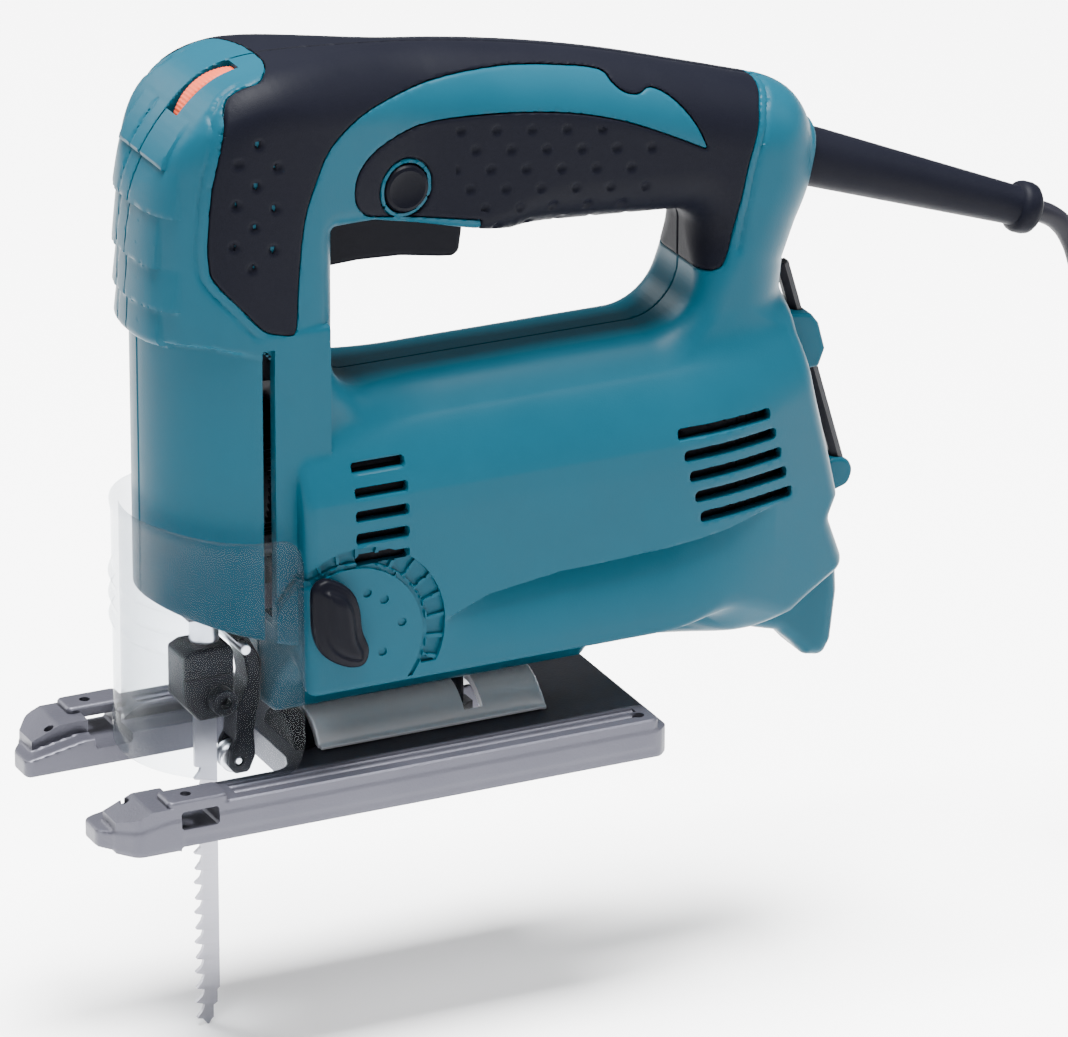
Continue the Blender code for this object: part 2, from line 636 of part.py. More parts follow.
def build_base():
    """Base with its blade opening, the two rails, and the saddle it tilts on."""
    half_length, half_width = BASE_LENGTH / 2, BASE_WIDTH / 2
    plan = [(-half_length + 6, half_width), (half_length - 3, half_width),
            (half_length, half_width - 3), (half_length, -half_width + 3),
            (half_length - 3, -half_width), (-half_length + 6, -half_width),
            (-half_length, -half_width + 9), (-half_length, -19), (-22, -19), (-19.5, -12),
            (-19.5, 12), (-22, 19), (-half_length, 19), (-half_length, half_width - 9)]
    base = prism("base_plate", "z", plan, 0, PLATE_TOP)
    for sign in (-1, 1):
        low, high = sorted((sign * 27.0, sign * (half_width - 0.01)))
        join(base, box("rail", (-50, low, 4), (half_length - 3, high, RAIL_TOP)))
        low, high = sorted((sign * 29.0, sign * (half_width - 0.02)))
        join(base, box("prong", (-63.5, low, 4), (-46.7, high, 13)))
        low, high = sorted((sign * 18.0, sign * 45.0))
        cut(base, box("rule_slot", (-60, low, 5), (-49.5, high, 10)))
    cut(base, box("bolt_access", (18, -9, -1), (52, 9, 10)))
    set_origin(finish(base, "cast_aluminium"), (0, 0, TILT_AXIS_Z))
    saddle = half_ring("saddle", SADDLE_RADIUS, 10.4, -10, 55)
    foot = PLATE_TOP + GAP
    join(saddle, box("foot_left", (-9.9, -13.8, foot), (54.9, -11.2, foot + 0.8)),
         box("foot_right", (-9.9, 11.2, foot), (54.9, 13.8, foot + 0.8)))
    reach = radians(57)
    slot = [(0.0, TILT_AXIS_Z)]
    slot += [(20 * sin(a), TILT_AXIS_Z + 20 * cos(a)) for a in
             [-reach + 2 * reach * i / 12 for i in range(13)]]
    cut(saddle, prism("arc_slot", "x", slot, 32.3, 37.7))
    set_origin(finish(saddle, "bright_steel"), (0, 0, TILT_AXIS_Z))
    cap = half_ring("saddle_cap", SADDLE_RADIUS - 0.8, 3.0, -16, -10.3)
    set_origin(finish(cap, "black_plastic"), (0, 0, TILT_AXIS_Z))
    bolt = rod("base_bolt", "z", (35, 0), 4.4, 4.2, 9.0, 6)
    join(bolt, rod("bolt_shank", "z", (35, 0), 2.0, 8.5, 24, 12))
    cut(bolt, rod("socket", "z", (35, 0), 2.0, 3, 6.8, 6))
    finish(bolt, "dark_steel")


def half_ring(name, outer, inner, low, high):
    """A half tube about the tilt axis, from just above the plate upwards."""
    floor = PLATE_TOP + GAP - TILT_AXIS_Z
    points = []
    for radius, order in ((outer, 1), (inner, -1)):
        if radius <= floor:
            continue
        start = atan2(floor, (radius ** 2 - floor ** 2) ** 0.5)
        arc = [start + (pi - 2 * start) * i / 14 for i in range(15)]
        points += [(radius * cos(a), TILT_AXIS_Z + radius * sin(a)) for a in arc[::order]]
    return prism(name, "x", points, low, high)


def build_screws():
    for number, (x, z, seat) in enumerate(SCREWS, 1):
        name = "housing_screw_%d" % number
        screw = rod(name, "y", (x, z), SCREW_RADIUS, -8, seat + 1, 8)
        join(screw, rod("head", "y", (x, z), SCREW_HEAD_RADIUS, seat + GAP, seat + 2.2, 12))
        finish(screw, "bright_steel")


CORD_ROUTE = [
    (205.7, 0.0, 120.0), (210.0, 0.0, 118.1), (213.8, 0.0, 114.9), (216.7, 0.0, 110.5),
    (218.9, 0.0, 104.8), (220.6, 0.0, 97.3), (222.6, 0.0, 85.2), (226.2, 0.0, 66.0),
    (229.0, -0.5, 40.0), (231.4, -2.0, 10.0), (232.9, -4.0, -18.0), (233.8, -7.6, -40.0),
    (235.4, -14.0, -55.5), (238.4, -21.6, -64.4), (242.8, -28.8, -67.4), (248.9, -35.4, -67.4),
    (256.0, -40.4, -67.4)]


def smooth_route(points, spacing):
    """Points at an even spacing along a smooth curve through the route's points."""
    dense = []
    last = len(points) - 1
    for i in range(last):
        p0, p1 = Vector(points[max(i - 1, 0)]), Vector(points[i])
        p2, p3 = Vector(points[i + 1]), Vector(points[min(i + 2, last)])
        for k in range(24):
            t = k / 24
            dense.append(0.5 * (2 * p1 + (p2 - p0) * t + (2 * p0 - 5 * p1 + 4 * p2 - p3) * t * t
                                + (3 * p1 - p0 - 3 * p2 + p3) * t ** 3))
    dense.append(Vector(points[-1]))
    total = sum((b - a).length for a, b in zip(dense, dense[1:]))
    count = round(total / spacing)
    result, walked, target = [dense[0]], 0.0, total / count
    for a, b in zip(dense, dense[1:]):
        step = (b - a).length
        while walked + step >= target - 1e-9 and len(result) < count:
            result.append(a.lerp(b, (target - walked) / step))
            target += total / count
        walked += step
    result.append(dense[-1])
    return result


def build_plug():
    """Two-pin plug that lies on the coil."""
    x, y, z = COIL_CENTRE[0] - 15.4, COIL_CENTRE[1] - 29.5, FLOOR_Z + 2 * COIL_HALF + 8.6
    rings = []
    for along, half_y, half_z in ((0, 4.5, 4.5), (8, 6, 6), (14, 12, 7.5), (34, 12.5, 8), (38, 11, 7)):
        corner = 0.4 * half_z
        right = [(half_y - corner, -half_z), (half_y, -half_z + corner), (half_y, half_z - corner),
                 (half_y - corner, half_z)]
        outline = right + [(-u, v) for u, v in reversed(right)]
        rings.append([(x + along, y + u, z + v) for u, v in outline])
    plug = loft("plug", rings)
    for side in (-9.5, 9.5):
        join(plug, rod("pin", "x", (y + side, z), 2.0, x + 37, x + 57, 10))
    finish(plug, "black_plastic")


def build_cord():
    """The lead: a plain tube down from its guard to the coil of its spare length."""
    low, high = FLOOR_Z + 0.2, FLOOR_Z + 0.2 + 2 * COIL_HALF
    inner, outer = COIL_MEAN - COIL_HALF, COIL_MEAN + COIL_HALF
    turned("cord_coil", "z", COIL_CENTRE,
           [(inner, low + 3), (inner + 3, low), (outer - 3, low), (outer, low + 3),
            (outer, high - 3), (outer - 3, high), (inner + 3, high), (inner, high - 3)],
           24, "cord_rubber")
    curve = bpy.data.curves.new("cord", "CURVE")
    curve.dimensions = "3D"
    curve.bevel_depth = CORD_DIAMETER / 2 * MM
    curve.bevel_resolution = 2
    curve.use_fill_caps = True
    points = smooth_route(CORD_ROUTE, 2.5 * CORD_DIAMETER)
    spline = curve.splines.new("POLY")
    spline.points.add(len(points) - 1)
    for target, point in zip(spline.points, points):
        target.co = (*(point * MM), 1.0)
    curve.materials.append(material("cord_rubber"))
    bpy.context.scene.collection.objects.link(bpy.data.objects.new("cord", curve))


if __name__ == "__main__":
    clear_scene()
    build_housing()
    build_key_holder()
    build_hex_key()
    build_guard()
    build_drive()
    build_gear_housing()
    build_plunger()
    build_roller_guide()
    build_controls()
    build_dust_cover()
    build_base()
    build_screws()
    build_cord()
    build_plug()
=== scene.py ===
"""Looks of the orbital jigsaw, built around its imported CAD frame.

Blade side -X, operator's left side -Y, up +Z. Shapes are worked out in millimetres
and become metres where a mesh is made.
"""
import json
from math import ceil, cos, pi, radians, sin

import bmesh
import bpy
import numpy as np
from mathutils import Matrix, Vector


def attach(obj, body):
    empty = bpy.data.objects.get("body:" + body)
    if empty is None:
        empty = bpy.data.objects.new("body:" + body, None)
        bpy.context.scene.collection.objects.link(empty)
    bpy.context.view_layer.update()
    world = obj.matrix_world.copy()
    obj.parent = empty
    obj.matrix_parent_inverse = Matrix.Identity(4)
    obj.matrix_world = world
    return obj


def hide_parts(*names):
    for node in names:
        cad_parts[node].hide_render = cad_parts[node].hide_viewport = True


MM = 0.001


# ---- solids as signed distances: negative inside, in millimetres ----

def outline_distance(px, pz, points):
    """Signed distance to a closed outline, negative inside."""
    best = np.full(px.shape, 1e18)
    sign = np.ones(px.shape)
    for a, b in zip(points, np.roll(points, 1, axis=0)):
        ex, ez = b - a
        wx, wz = px - a[0], pz - a[1]
        t = np.clip((wx * ex + wz * ez) / (ex * ex + ez * ez + 1e-12), 0, 1)
        best = np.minimum(best, (wx - ex * t) ** 2 + (wz - ez * t) ** 2)
        above, below, left = pz >= a[1], pz < b[1], ex * wz > ez * wx
        flip = (above & below & left) | (~above & ~below & ~left)
        sign = np.where(flip, -sign, sign)
    return sign * np.sqrt(best)


def smooth_line(points, steps=4):
    """Points along a Catmull-Rom curve through an open line of points."""
    p = np.asarray(points, float)
    out = []
    for i in range(len(p) - 1):
        p0, p1, p2, p3 = p[max(i - 1, 0)], p[i], p[i + 1], p[min(i + 2, len(p) - 1)]
        for k in range(steps):
            t = k / steps
            out.append(0.5 * (2 * p1 + (p2 - p0) * t + (2 * p0 - 5 * p1 + 4 * p2 - p3) * t * t
                              + (3 * p1 - p0 - 3 * p2 + p3) * t ** 3))
    out.append(p[-1])
    return np.array(out)


def rounded(points, radius=0.0, steps=5):
    """A closed outline with rounded corners; a corner's own radius is its third number."""
    out = []
    for i, point in enumerate(points):
        p = np.array(point[:2], float)
        r = point[2] if len(point) > 2 else radius
        a = np.array(points[i - 1][:2], float) - p
        b = np.array(points[(i + 1) % len(points)][:2], float) - p
        la, lb = np.linalg.norm(a), np.linalg.norm(b)
        a, b = a / la, b / lb
        angle = np.arccos(np.clip(a @ b, -1, 1))
        if r <= 0 or angle > 3.1:
            out.append(p)
            continue
        reach = min(r / np.tan(angle / 2), 0.49 * la, 0.49 * lb)
        r = reach * np.tan(angle / 2)
        centre = p + (a + b) / np.linalg.norm(a + b) * r / np.sin(angle / 2)
        s, e = p + a * reach - centre, p + b * reach - centre
        start = np.arctan2(s[1], s[0])
        turn = (np.arctan2(e[1], e[0]) - start + pi) % (2 * pi) - pi
        for k in range(steps + 1):
            at = start + turn * k / steps
            out.append(centre + r * np.array([np.cos(at), np.sin(at)]))
    return np.array(out)


class Outline:
    """Signed distance to an outline, tabulated once and then read between its grid points."""

    def __init__(self, points, low, high, step=0.4):
        self.low, self.step = np.array(low, float), step
        self.count = [int(ceil((high[i] - low[i]) / step)) + 1 for i in (0, 1)]
        u, v = np.meshgrid(low[0] + step * np.arange(self.count[0]),
                           low[1] + step * np.arange(self.count[1]), indexing="ij")
        self.table = outline_distance(u, v, np.asarray(points, float))

    def __call__(self, u, v):
        a = np.clip((u - self.low[0]) / self.step, 0, self.count[0] - 1.001)
        b = np.clip((v - self.low[1]) / self.step, 0, self.count[1] - 1.001)
        a, b = np.broadcast_arrays(a, b)
        i, j = a.astype(int), b.astype(int)
        a, b = a - i, b - j
        t = self.table
        return ((t[i, j] * (1 - a) + t[i + 1, j] * a) * (1 - b)
                + (t[i, j + 1] * (1 - a) + t[i + 1, j + 1] * a) * b)


def both(first, *others):
    """Intersection of solids."""
    for solid_field in others:
        first = np.maximum(first, solid_field)
    return first


def either(first, *others):
    """Union of solids."""
    for solid_field in others:
        first = np.minimum(first, solid_field)
    return first


def carve(solid_field, tool):
    """A solid with a tool cut out of it."""
    return np.maximum(solid_field, -tool)


def blend_min(a, b, k):
    """Union of two solids, melted together over k."""
    h = np.clip(0.5 + 0.5 * (b - a) / k, 0, 1)
    return b * (1 - h) + a * h - k * h * (1 - h)


def round_max(a, b, r):
    """Intersection of two solids, its edge rounded to radius r."""
    corner = np.hypot(np.maximum(a + r, 0), np.maximum(b + r, 0)) - r
    return np.where((a > -r) & (b > -r), corner, np.maximum(a, b))


def round_min(a, b, r):
    """Union of two solids, its inner corner filled to radius r."""
    return -round_max(-a, -b, r)


def box_distance(x, y, z, low, high, r=0.0):
    """An upright box with rounded edges."""
    q = [np.abs(t - (low[i] + high[i]) / 2) - (high[i] - low[i]) / 2 + r
         for i, t in enumerate((x, y, z))]
    outside = np.sqrt(sum(np.maximum(t, 0) ** 2 for t in q))
    return outside + np.minimum(np.maximum(np.maximum(q[0], q[1]), q[2]), 0) - r


def eased(x, places, values, reach=6.0):
    """Straight runs between the values given at places, with their kinks smoothed over reach."""
    return sum(np.interp(x + reach * k, places, values) for k in (-1, -0.5, 0, 0.5, 1)) / 5


def ramp(t, low, high):
    """0 below low and 1 above high, with a smooth rise between."""
    t = np.clip((t - low) / (high - low), 0, 1)
    return t * t * (3 - 2 * t)


# ---- the tool body ----
SPAN = ((-66.0, 0.0), (152.0, 206.0))
TOP_LINE = [
    (-57.5, 128), (-57.6, 146), (-56.6, 158), (-54, 170), (-50, 179.5), (-44, 188), (-36.5, 194),
    (-28, 196.8), (-18, 197.4), (0, 196.4), (25, 194), (50, 190), (75, 184.4), (100, 177.2),
    (116, 172.4), (124, 170), (130, 166.4), (134, 161), (136, 154), (136.2, 146), (134.6, 139),
    (131, 131)]
HANDLE = Outline(np.vstack([smooth_line(TOP_LINE), [
    [127.5, 122], [126.6, 113], [127.5, 103], [110, 95], [60, 95], [-8, 95], [-22, 95],
    [-40, 112], [-57.5, 122]]]), *SPAN)
OPENING = Outline(rounded([
    (-9, 108.5, 12), (-9, 154.8, 1), (4, 154.4, 10), (34, 146.4, 10), (45, 143.2, 3),
    (70, 141.5, 10), (99, 139.5, 5), (99, 108.5, 34)], 3, 14), *SPAN)
BODY = Outline(rounded([
    (-22, 17.4, 1), (68, 17.4, 1), (69.5, 21, 1), (112, 21, 8), (128, 29, 6), (142, 35, 4),
    (136, 50, 3), (139, 56, 3), (136.5, 66, 8), (131, 86, 14), (126.6, 104, 10),
    (126.6, 116, 5), (-22, 116, 5)], 3), *SPAN)
LUG = Outline(rounded([
    (104, 30, 0), (112, 23, 4), (118.5, 17.5, 4), (126, 15.2, 5), (130.5, 11, 4), (134.5, 6.5, 3),
    (140, 5.4, 3), (142.6, 10, 3), (144.2, 24, 10), (143.6, 36, 6), (138, 48.6, 3), (104, 50, 0)],
    3), *SPAN)
IN_FRONT = Outline(rounded([
    (-80, -10, 0), (-22, -10, 0), (-22, 101, 4), (-23.4, 112, 8), (-30, 125.4, 12), (-44, 129, 10),
    (-80, 129, 0)]), *SPAN)
SECTION_SPAN = ((-2.0, 0.0), (42.0, 118.0))
SECTION = Outline(rounded([
    (-9, 17.4, 0), (7, 18.2, 0.8), (9.2, 19.4, 1), (10.6, 23, 1), (13, 27.9, 1), (14.8, 30, 1),
    (22.2, 37.2, 1), (24.8, 35.4, 1), (27.4, 31.7, 0.5), (37, 31.7, 0), (37, 86.4, 0),
    (12.5, 109.5, 10), (-9, 110.5, 0)]), *SECTION_SPAN)
REAR_SECTION = Outline(rounded([
    (-9, 18, 0), (12, 18.4, 8), (22, 25, 10), (28.6, 36, 8), (31, 46, 4), (37, 46, 0), (37, 86.4, 0),
    (12.5, 109.5, 10), (-9, 110.5, 0)]), *SECTION_SPAN)


def front_plan(x, y, radius, front):
    """A half round of a radius whose foremost line is at front, with straight sides behind."""
    centre = front + radius
    return np.where(x < centre, np.hypot(x - centre, y) - radius, y - radius)


def body_skin(x, y, z):
    """Outer skin of the tool body, the same on both sides. y is the distance from the middle."""
    handle, opening, body = HANDLE(x, z), -OPENING(x, z), BODY(x, z)
    half = eased(x, [-60, -20, -2, 15, 118, 135], [27, 26.5, 22, 17.5, 17.5, 16.5])
    edge = eased(x, [-60, -25, 0, 15], [9, 13, 16, 17])
    upper = round_max(handle, y - half, edge)
    upper = round_max(upper, front_plan(x, y, 27.0, -57.5), 2.5)
    # The side panel overhangs a hollow that sweeps back from the lever to the barrel.
    sweep_top = np.interp(x, [16, 30, 50, 80, 100, 116], [46.5, 52, 54.6, 55.6, 57.4, 60.4])
    fall = np.clip((sweep_top - z) / np.maximum(sweep_top - 36.5, 4), 0, 1)
    depth = np.interp(x, [16, 30, 48, 82, 100, 116], [0, 2.4, 3.6, 3.6, 2.4, 0])
    depth = depth * ramp(sweep_top - z, 0, 0.7) * (1 - fall) ** 1.6
    taper = 6.0 * np.logaddexp(0, (x - 97) / 6.0) * 0.30
    side = (y - 31 + depth + taper) / (1 + 0.044 * ramp(x, 88, 106))
    edge = 1.2 + 7.8 * ramp(z, 62, 88)
    toward_rear = ramp(x, 80.5, 108)
    section = SECTION(y, z) * (1 - toward_rear) + REAR_SECTION(y, z) * toward_rear
    motor = round_max(body, round_max(section, side, edge), 4.0)
    lug = round_max(LUG(x, z), y - 9.2 - 0.05 * np.maximum(0, 132 - x), 4.0)
    motor = round_min(motor, lug, 3.0)
    skin = blend_min(motor, upper, 7.0)
    skin = round_max(skin, -IN_FRONT(x, z), 1.2)
    below_handle = eased(x, [-2, 4, 36, 50], [6, 3, 3, 14])
    edge = below_handle + (7 - below_handle) * (1 - ramp(z, 118, 134))
    skin = round_max(skin, opening, edge)
    nose_low = 55 - (x + 54) * 0.33
    nose = round_max(front_plan(x, y, 26.0, -54.5), np.maximum(z - 131, nose_low - z), 1.2)
    nose = np.maximum(nose, x + 12)
    return round_min(skin, nose, 0.8)

# ---- from a solid to a mesh ----

def contour(field, low, high, step):
    """Dual contouring: points in the grid's cells and the quads between them."""
    low = np.array(low, float)
    count = [int(ceil((high[i] - low[i]) / step)) + 1 for i in range(3)]
    axes = [low[i] + step * np.arange(count[i]) for i in range(3)]
    values = np.empty(count)
    for i in range(0, count[0], 24):
        block = np.meshgrid(axes[0][i:i + 24], axes[1], axes[2], indexing="ij")
        values[i:i + 24] = field(*block)
    inside = values < 0
    cells = [n - 1 for n in count]
    stride = np.array([cells[1] * cells[2], cells[2], 1])
    starts, ends, owners, flips = [], [], [], []
    for axis in range(3):
        lower = [slice(None)] * 3
        upper = [slice(None)] * 3
        lower[axis], upper[axis] = slice(0, -1), slice(1, None)
        a, b = inside[tuple(lower)], inside[tuple(upper)]
        index = np.argwhere(a != b)
        others = [k for k in range(3) if k != axis]
        good = np.ones(len(index), bool)
        for k in others:
            good &= (index[:, k] > 0) & (index[:, k] < count[k] - 1)
        index = index[good]
        start = low + index * step
        end = start.copy()
        end[:, axis] += step
        corner = index @ stride
        first, second = stride[others[0]], stride[others[1]]
        quad = np.stack([corner, corner - first, corner - first - second, corner - second], axis=1)
        flip = a[tuple(index.T)]
        flip = ~flip if axis == 1 else flip
        starts.append(start)
        ends.append(end)
        owners.append(quad)
        flips.append(flip)
    start, end = np.vstack(starts), np.vstack(ends)
    quads, flip = np.vstack(owners), np.concatenate(flips)
    f0, f1 = field(*start.T), field(*end.T)
    for _ in range(3):
        t = np.clip(f0 / (f0 - f1 + 1e-12), 0.02, 0.98)[:, None]
        middle = start + (end - start) * t
        fm = field(*middle.T)
        same = (fm < 0) == (f0 < 0)
        start = np.where(same[:, None], middle, start)
        end = np.where(same[:, None], end, middle)
        f0, f1 = np.where(same, fm, f0), np.where(same, f1, fm)
    t = np.clip(f0 / (f0 - f1 + 1e-12), 0, 1)[:, None]
    at = start + (end - start) * t
    reach = 0.04
    slope = np.stack([field(*(at + reach * unit).T) - field(*(at - reach * unit).T)
                      for unit in np.eye(3)], axis=1)
    slope /= np.linalg.norm(slope, axis=1, keepdims=True) + 1e-12
    used, member = np.unique(quads, return_inverse=True)
    member = member.reshape(quads.shape)
    total = len(used)
    tally = np.bincount(member.ravel(), minlength=total).astype(float)

    def gather(values):
        return np.bincount(member.ravel(), np.repeat(values, 4), total)

    mean = np.stack([gather(at[:, i]) for i in range(3)], axis=1) / tally[:, None]
    away = (slope * at).sum(1)
    right = np.stack([gather(slope[:, i] * away) for i in range(3)], axis=1)
    matrix = np.empty((total, 3, 3))
    for i in range(3):
        for j in range(i, 3):
            matrix[:, i, j] = matrix[:, j, i] = gather(slope[:, i] * slope[:, j])
    right -= np.einsum("nij,nj->ni", matrix, mean)
    matrix += np.eye(3) * (0.04 * tally)[:, None, None]
    points = mean + np.linalg.solve(matrix, right[:, :, None])[:, :, 0]
    cell = np.stack([used // stride[0], used % stride[0] // stride[1], used % stride[1]], axis=1)
    floor = low + cell * step
    points = np.clip(points, floor, floor + step)
    quads = np.where(flip[:, None], member[:, ::-1], member)
    return points, quads


def add_object(name, points, faces, slot, body, nodes=(), sharp=32.0):
    """A piece in the scene from points in millimetres, with its slot's finish, hung on its body; the CAD
    nodes it replaces are hidden.
    """
    mesh = bpy.data.meshes.new(name)
    points = np.asarray(points, float) * MM
    mesh.from_pydata(points.tolist(), [], np.asarray(faces).tolist()
                     if isinstance(faces, np.ndarray) else faces)
    mesh.polygons.foreach_set("use_smooth", [True] * len(mesh.polygons))
    mesh.set_sharp_from_angle(angle=radians(sharp))
    obj = bpy.data.objects.new(name, mesh)
    bpy.context.scene.collection.objects.link(obj)
    mesh.materials.append(LOOKS[slot])
    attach(obj, body)
    if nodes:
        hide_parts(*nodes)
    return obj


def solid(name, field, low, high, step, slot, body, nodes=(), sharp=32.0):
    points, quads = contour(field, low, high, step)
    return add_object(name, points, quads, slot, body, nodes, sharp)


def slab(flat, along, low, high, edge=0.0):
    """A prism of an outline's distance, its rims rounded to edge."""
    return round_max(flat, np.abs(along - (low + high) / 2) - (high - low) / 2, edge)


def disc(u, v, centre, radius):
    return np.hypot(u - centre[0], v - centre[1]) - radius


def lathe(profile, start, direction, sides, wave=None):
    """Points and faces of a profile of (radius, along) pairs turned about a line.

    The profile runs from the line to the line, so the solid is closed. A wave gives the
    change of radius at each angle and place along, for ribs and knurls.
    """
    direction = Vector(direction).normalized()
    aside = direction.orthogonal().normalized()
    if abs(direction.y) < 0.99:
        aside = Vector((0, 1, 0))
    up = direction.cross(aside)
    start = Vector(start)
    points, faces, rows = [], [], []
    for radius, along in profile:
        if radius < 1e-6:
            rows.append([len(points)] * sides)
            points.append(start + direction * along)
            continue
        row = []
        for i in range(sides):
            angle = 2 * pi * i / sides
            r = radius + (wave(angle, radius, along) if wave else 0.0)
            row.append(len(points))
            points.append(start + direction * along + aside * (r * cos(angle))
                          + up * (r * sin(angle)))
        rows.append(row)
    for a, b in zip(rows, rows[1:]):
        for i in range(sides):
            j = (i + 1) % sides
            face = [a[i], b[i], b[j], a[j]]
            face = [v for k, v in enumerate(face) if v != face[k - 1]]
            if len(face) > 2:
                faces.append(face)
    return points, faces


def outwards(obj):
    """Turns a closed mesh's faces outwards."""
    work = bmesh.new()
    work.from_mesh(obj.data)
    bmesh.ops.recalc_face_normals(work, faces=work.faces)
    work.to_mesh(obj.data)
    work.free()
    return obj


def turned(name, profile, start, direction, sides, slot, body, nodes=(), wave=None, sharp=32.0):
    points, faces = lathe(profile, start, direction, sides, wave)
    return outwards(add_object(name, points, faces, slot, body, nodes, sharp))


# ---- finishes ----
LOOKS = {}


def look(name, colour, roughness, metallic=0.0, grain=2200.0, bump=0.12, wear=0.25,
         brush=None, clear=0.0, shine=0.5):
    """A finish with mottled colour, uneven gloss, a fine grain and paler rubbed edges."""
    made = bpy.data.materials.new(name)
    made.use_nodes = True
    nodes, links = made.node_tree.nodes, made.node_tree.links
    shader = nodes["Principled BSDF"]
    place = nodes.new("ShaderNodeTexCoord")
    spread = nodes.new("ShaderNodeMapping")
    links.new(place.outputs["Object"], spread.inputs["Vector"])
    if brush:
        spread.inputs["Scale"].default_value = brush
    fine = nodes.new("ShaderNodeTexNoise")
    fine.inputs["Scale"].default_value = grain
    fine.inputs["Detail"].default_value = 3.0
    links.new(spread.outputs["Vector"], fine.inputs["Vector"])
    broad = nodes.new("ShaderNodeTexNoise")
    broad.inputs["Scale"].default_value = 38.0
    broad.inputs["Detail"].default_value = 5.0
    broad.inputs["Roughness"].default_value = 0.6
    links.new(place.outputs["Object"], broad.inputs["Vector"])
    tint = nodes.new("ShaderNodeMix")
    tint.data_type = "RGBA"
    tint.inputs[6].default_value = (*[c * 0.9 for c in colour], 1)
    tint.inputs[7].default_value = (*[min(1, c * 1.08) for c in colour], 1)
    links.new(broad.outputs["Fac"], tint.inputs[0])
    geometry = nodes.new("ShaderNodeNewGeometry")
    edges = nodes.new("ShaderNodeMapRange")
    edges.inputs["From Min"].default_value = 0.53
    edges.inputs["From Max"].default_value = 0.62
    edges.inputs["To Max"].default_value = wear
    links.new(geometry.outputs["Pointiness"], edges.inputs["Value"])
    worn = nodes.new("ShaderNodeMix")
    worn.data_type = "RGBA"
    worn.inputs[7].default_value = (*[min(1, c * 1.7 + 0.006) for c in colour], 1)
    links.new(edges.outputs["Result"], worn.inputs[0])
    links.new(tint.outputs[2], worn.inputs[6])
    links.new(worn.outputs[2], shader.inputs["Base Color"])
    gloss = nodes.new("ShaderNodeMapRange")
    gloss.inputs["From Min"].default_value = 0.3
    gloss.inputs["From Max"].default_value = 0.7
    gloss.inputs["To Min"].default_value = roughness * 0.86
    gloss.inputs["To Max"].default_value = min(1.0, roughness * 1.14)
    links.new(broad.outputs["Fac"], gloss.inputs["Value"])
    links.new(gloss.outputs["Result"], shader.inputs["Roughness"])
    relief = nodes.new("ShaderNodeBump")
    relief.inputs["Strength"].default_value = bump
    relief.inputs["Distance"].default_value = 0.0002
    links.new(fine.outputs["Fac"], relief.inputs["Height"])
    links.new(relief.outputs["Normal"], shader.inputs["Normal"])
    shader.inputs["Metallic"].default_value = metallic
    shader.inputs["Specular IOR Level"].default_value = shine
    if clear:
        # A thin clear wall lets light straight through and shines at its edges.
        through = nodes.new("ShaderNodeBsdfTransparent")
        through.inputs["Color"].default_value = (0.86, 0.88, 0.9, 1)
        rim = nodes.new("ShaderNodeLayerWeight")
        rim.inputs["Blend"].default_value = 0.32
        amount = nodes.new("ShaderNodeMapRange")
        amount.inputs["To Min"].default_value = 0.012
        amount.inputs["To Max"].default_value = 0.42
        links.new(rim.outputs["Facing"], amount.inputs["Value"])
        mixed = nodes.new("ShaderNodeMixShader")
        links.new(amount.outputs["Result"], mixed.inputs["Fac"])
        links.new(through.outputs["BSDF"], mixed.inputs[1])
        links.new(shader.outputs["BSDF"], mixed.inputs[2])
        links.new(mixed.outputs["Shader"], nodes["Material Output"].inputs["Surface"])
    made.diffuse_color = (*colour, 1)
    LOOKS[name] = made
    return made


def make_looks():
    look("housing_teal", (0.0028, 0.036, 0.056), 0.42, bump=0.12, shine=0.06)
    look("grip_rubber", (0.0028, 0.0031, 0.0056), 0.52, grain=3200, bump=0.3, wear=0.08, shine=0.035)
    look("cast_aluminium", (0.046, 0.046, 0.06), 0.48, 0.6, grain=1500, bump=0.35, wear=0.35)
    look("bright_steel", (0.6, 0.61, 0.65), 0.3, 1.0, grain=900, bump=0.06, brush=(1, 12, 12))
    look("saddle_steel", (0.72, 0.73, 0.76), 0.45, 0.3, grain=1300, bump=0.12, shine=0.4)
    look("dark_steel", (0.0048, 0.005, 0.0075), 0.42, 0.15, grain=1400, bump=0.12, shine=0.09)
    look("black_plastic", (0.0022, 0.0024, 0.0042), 0.42, bump=0.14, wear=0.08, shine=0.035)
    look("orange_plastic", (0.34, 0.042, 0.014), 0.5, bump=0.1, shine=0.15)
    look("clear_plastic", (0.05, 0.055, 0.06), 0.08, bump=0.01, wear=0.0, clear=0.9)
    look("copper", (0.5, 0.17, 0.07), 0.35, 1.0, grain=600, bump=0.2, brush=(1, 6, 1))
    look("bronze", (0.4, 0.25, 0.1), 0.4, 1.0, bump=0.15)
    look("carbon", (0.02, 0.02, 0.022), 0.7, bump=0.3)
    look("blade_steel", (0.2, 0.2, 0.225), 0.32, 0.9, grain=700, bump=0.08, brush=(1, 1, 14))
    look("cord_rubber", (0.005, 0.005, 0.008), 0.5, grain=1800, bump=0.2, wear=0.1, shine=0.12)


# ---- camera ----

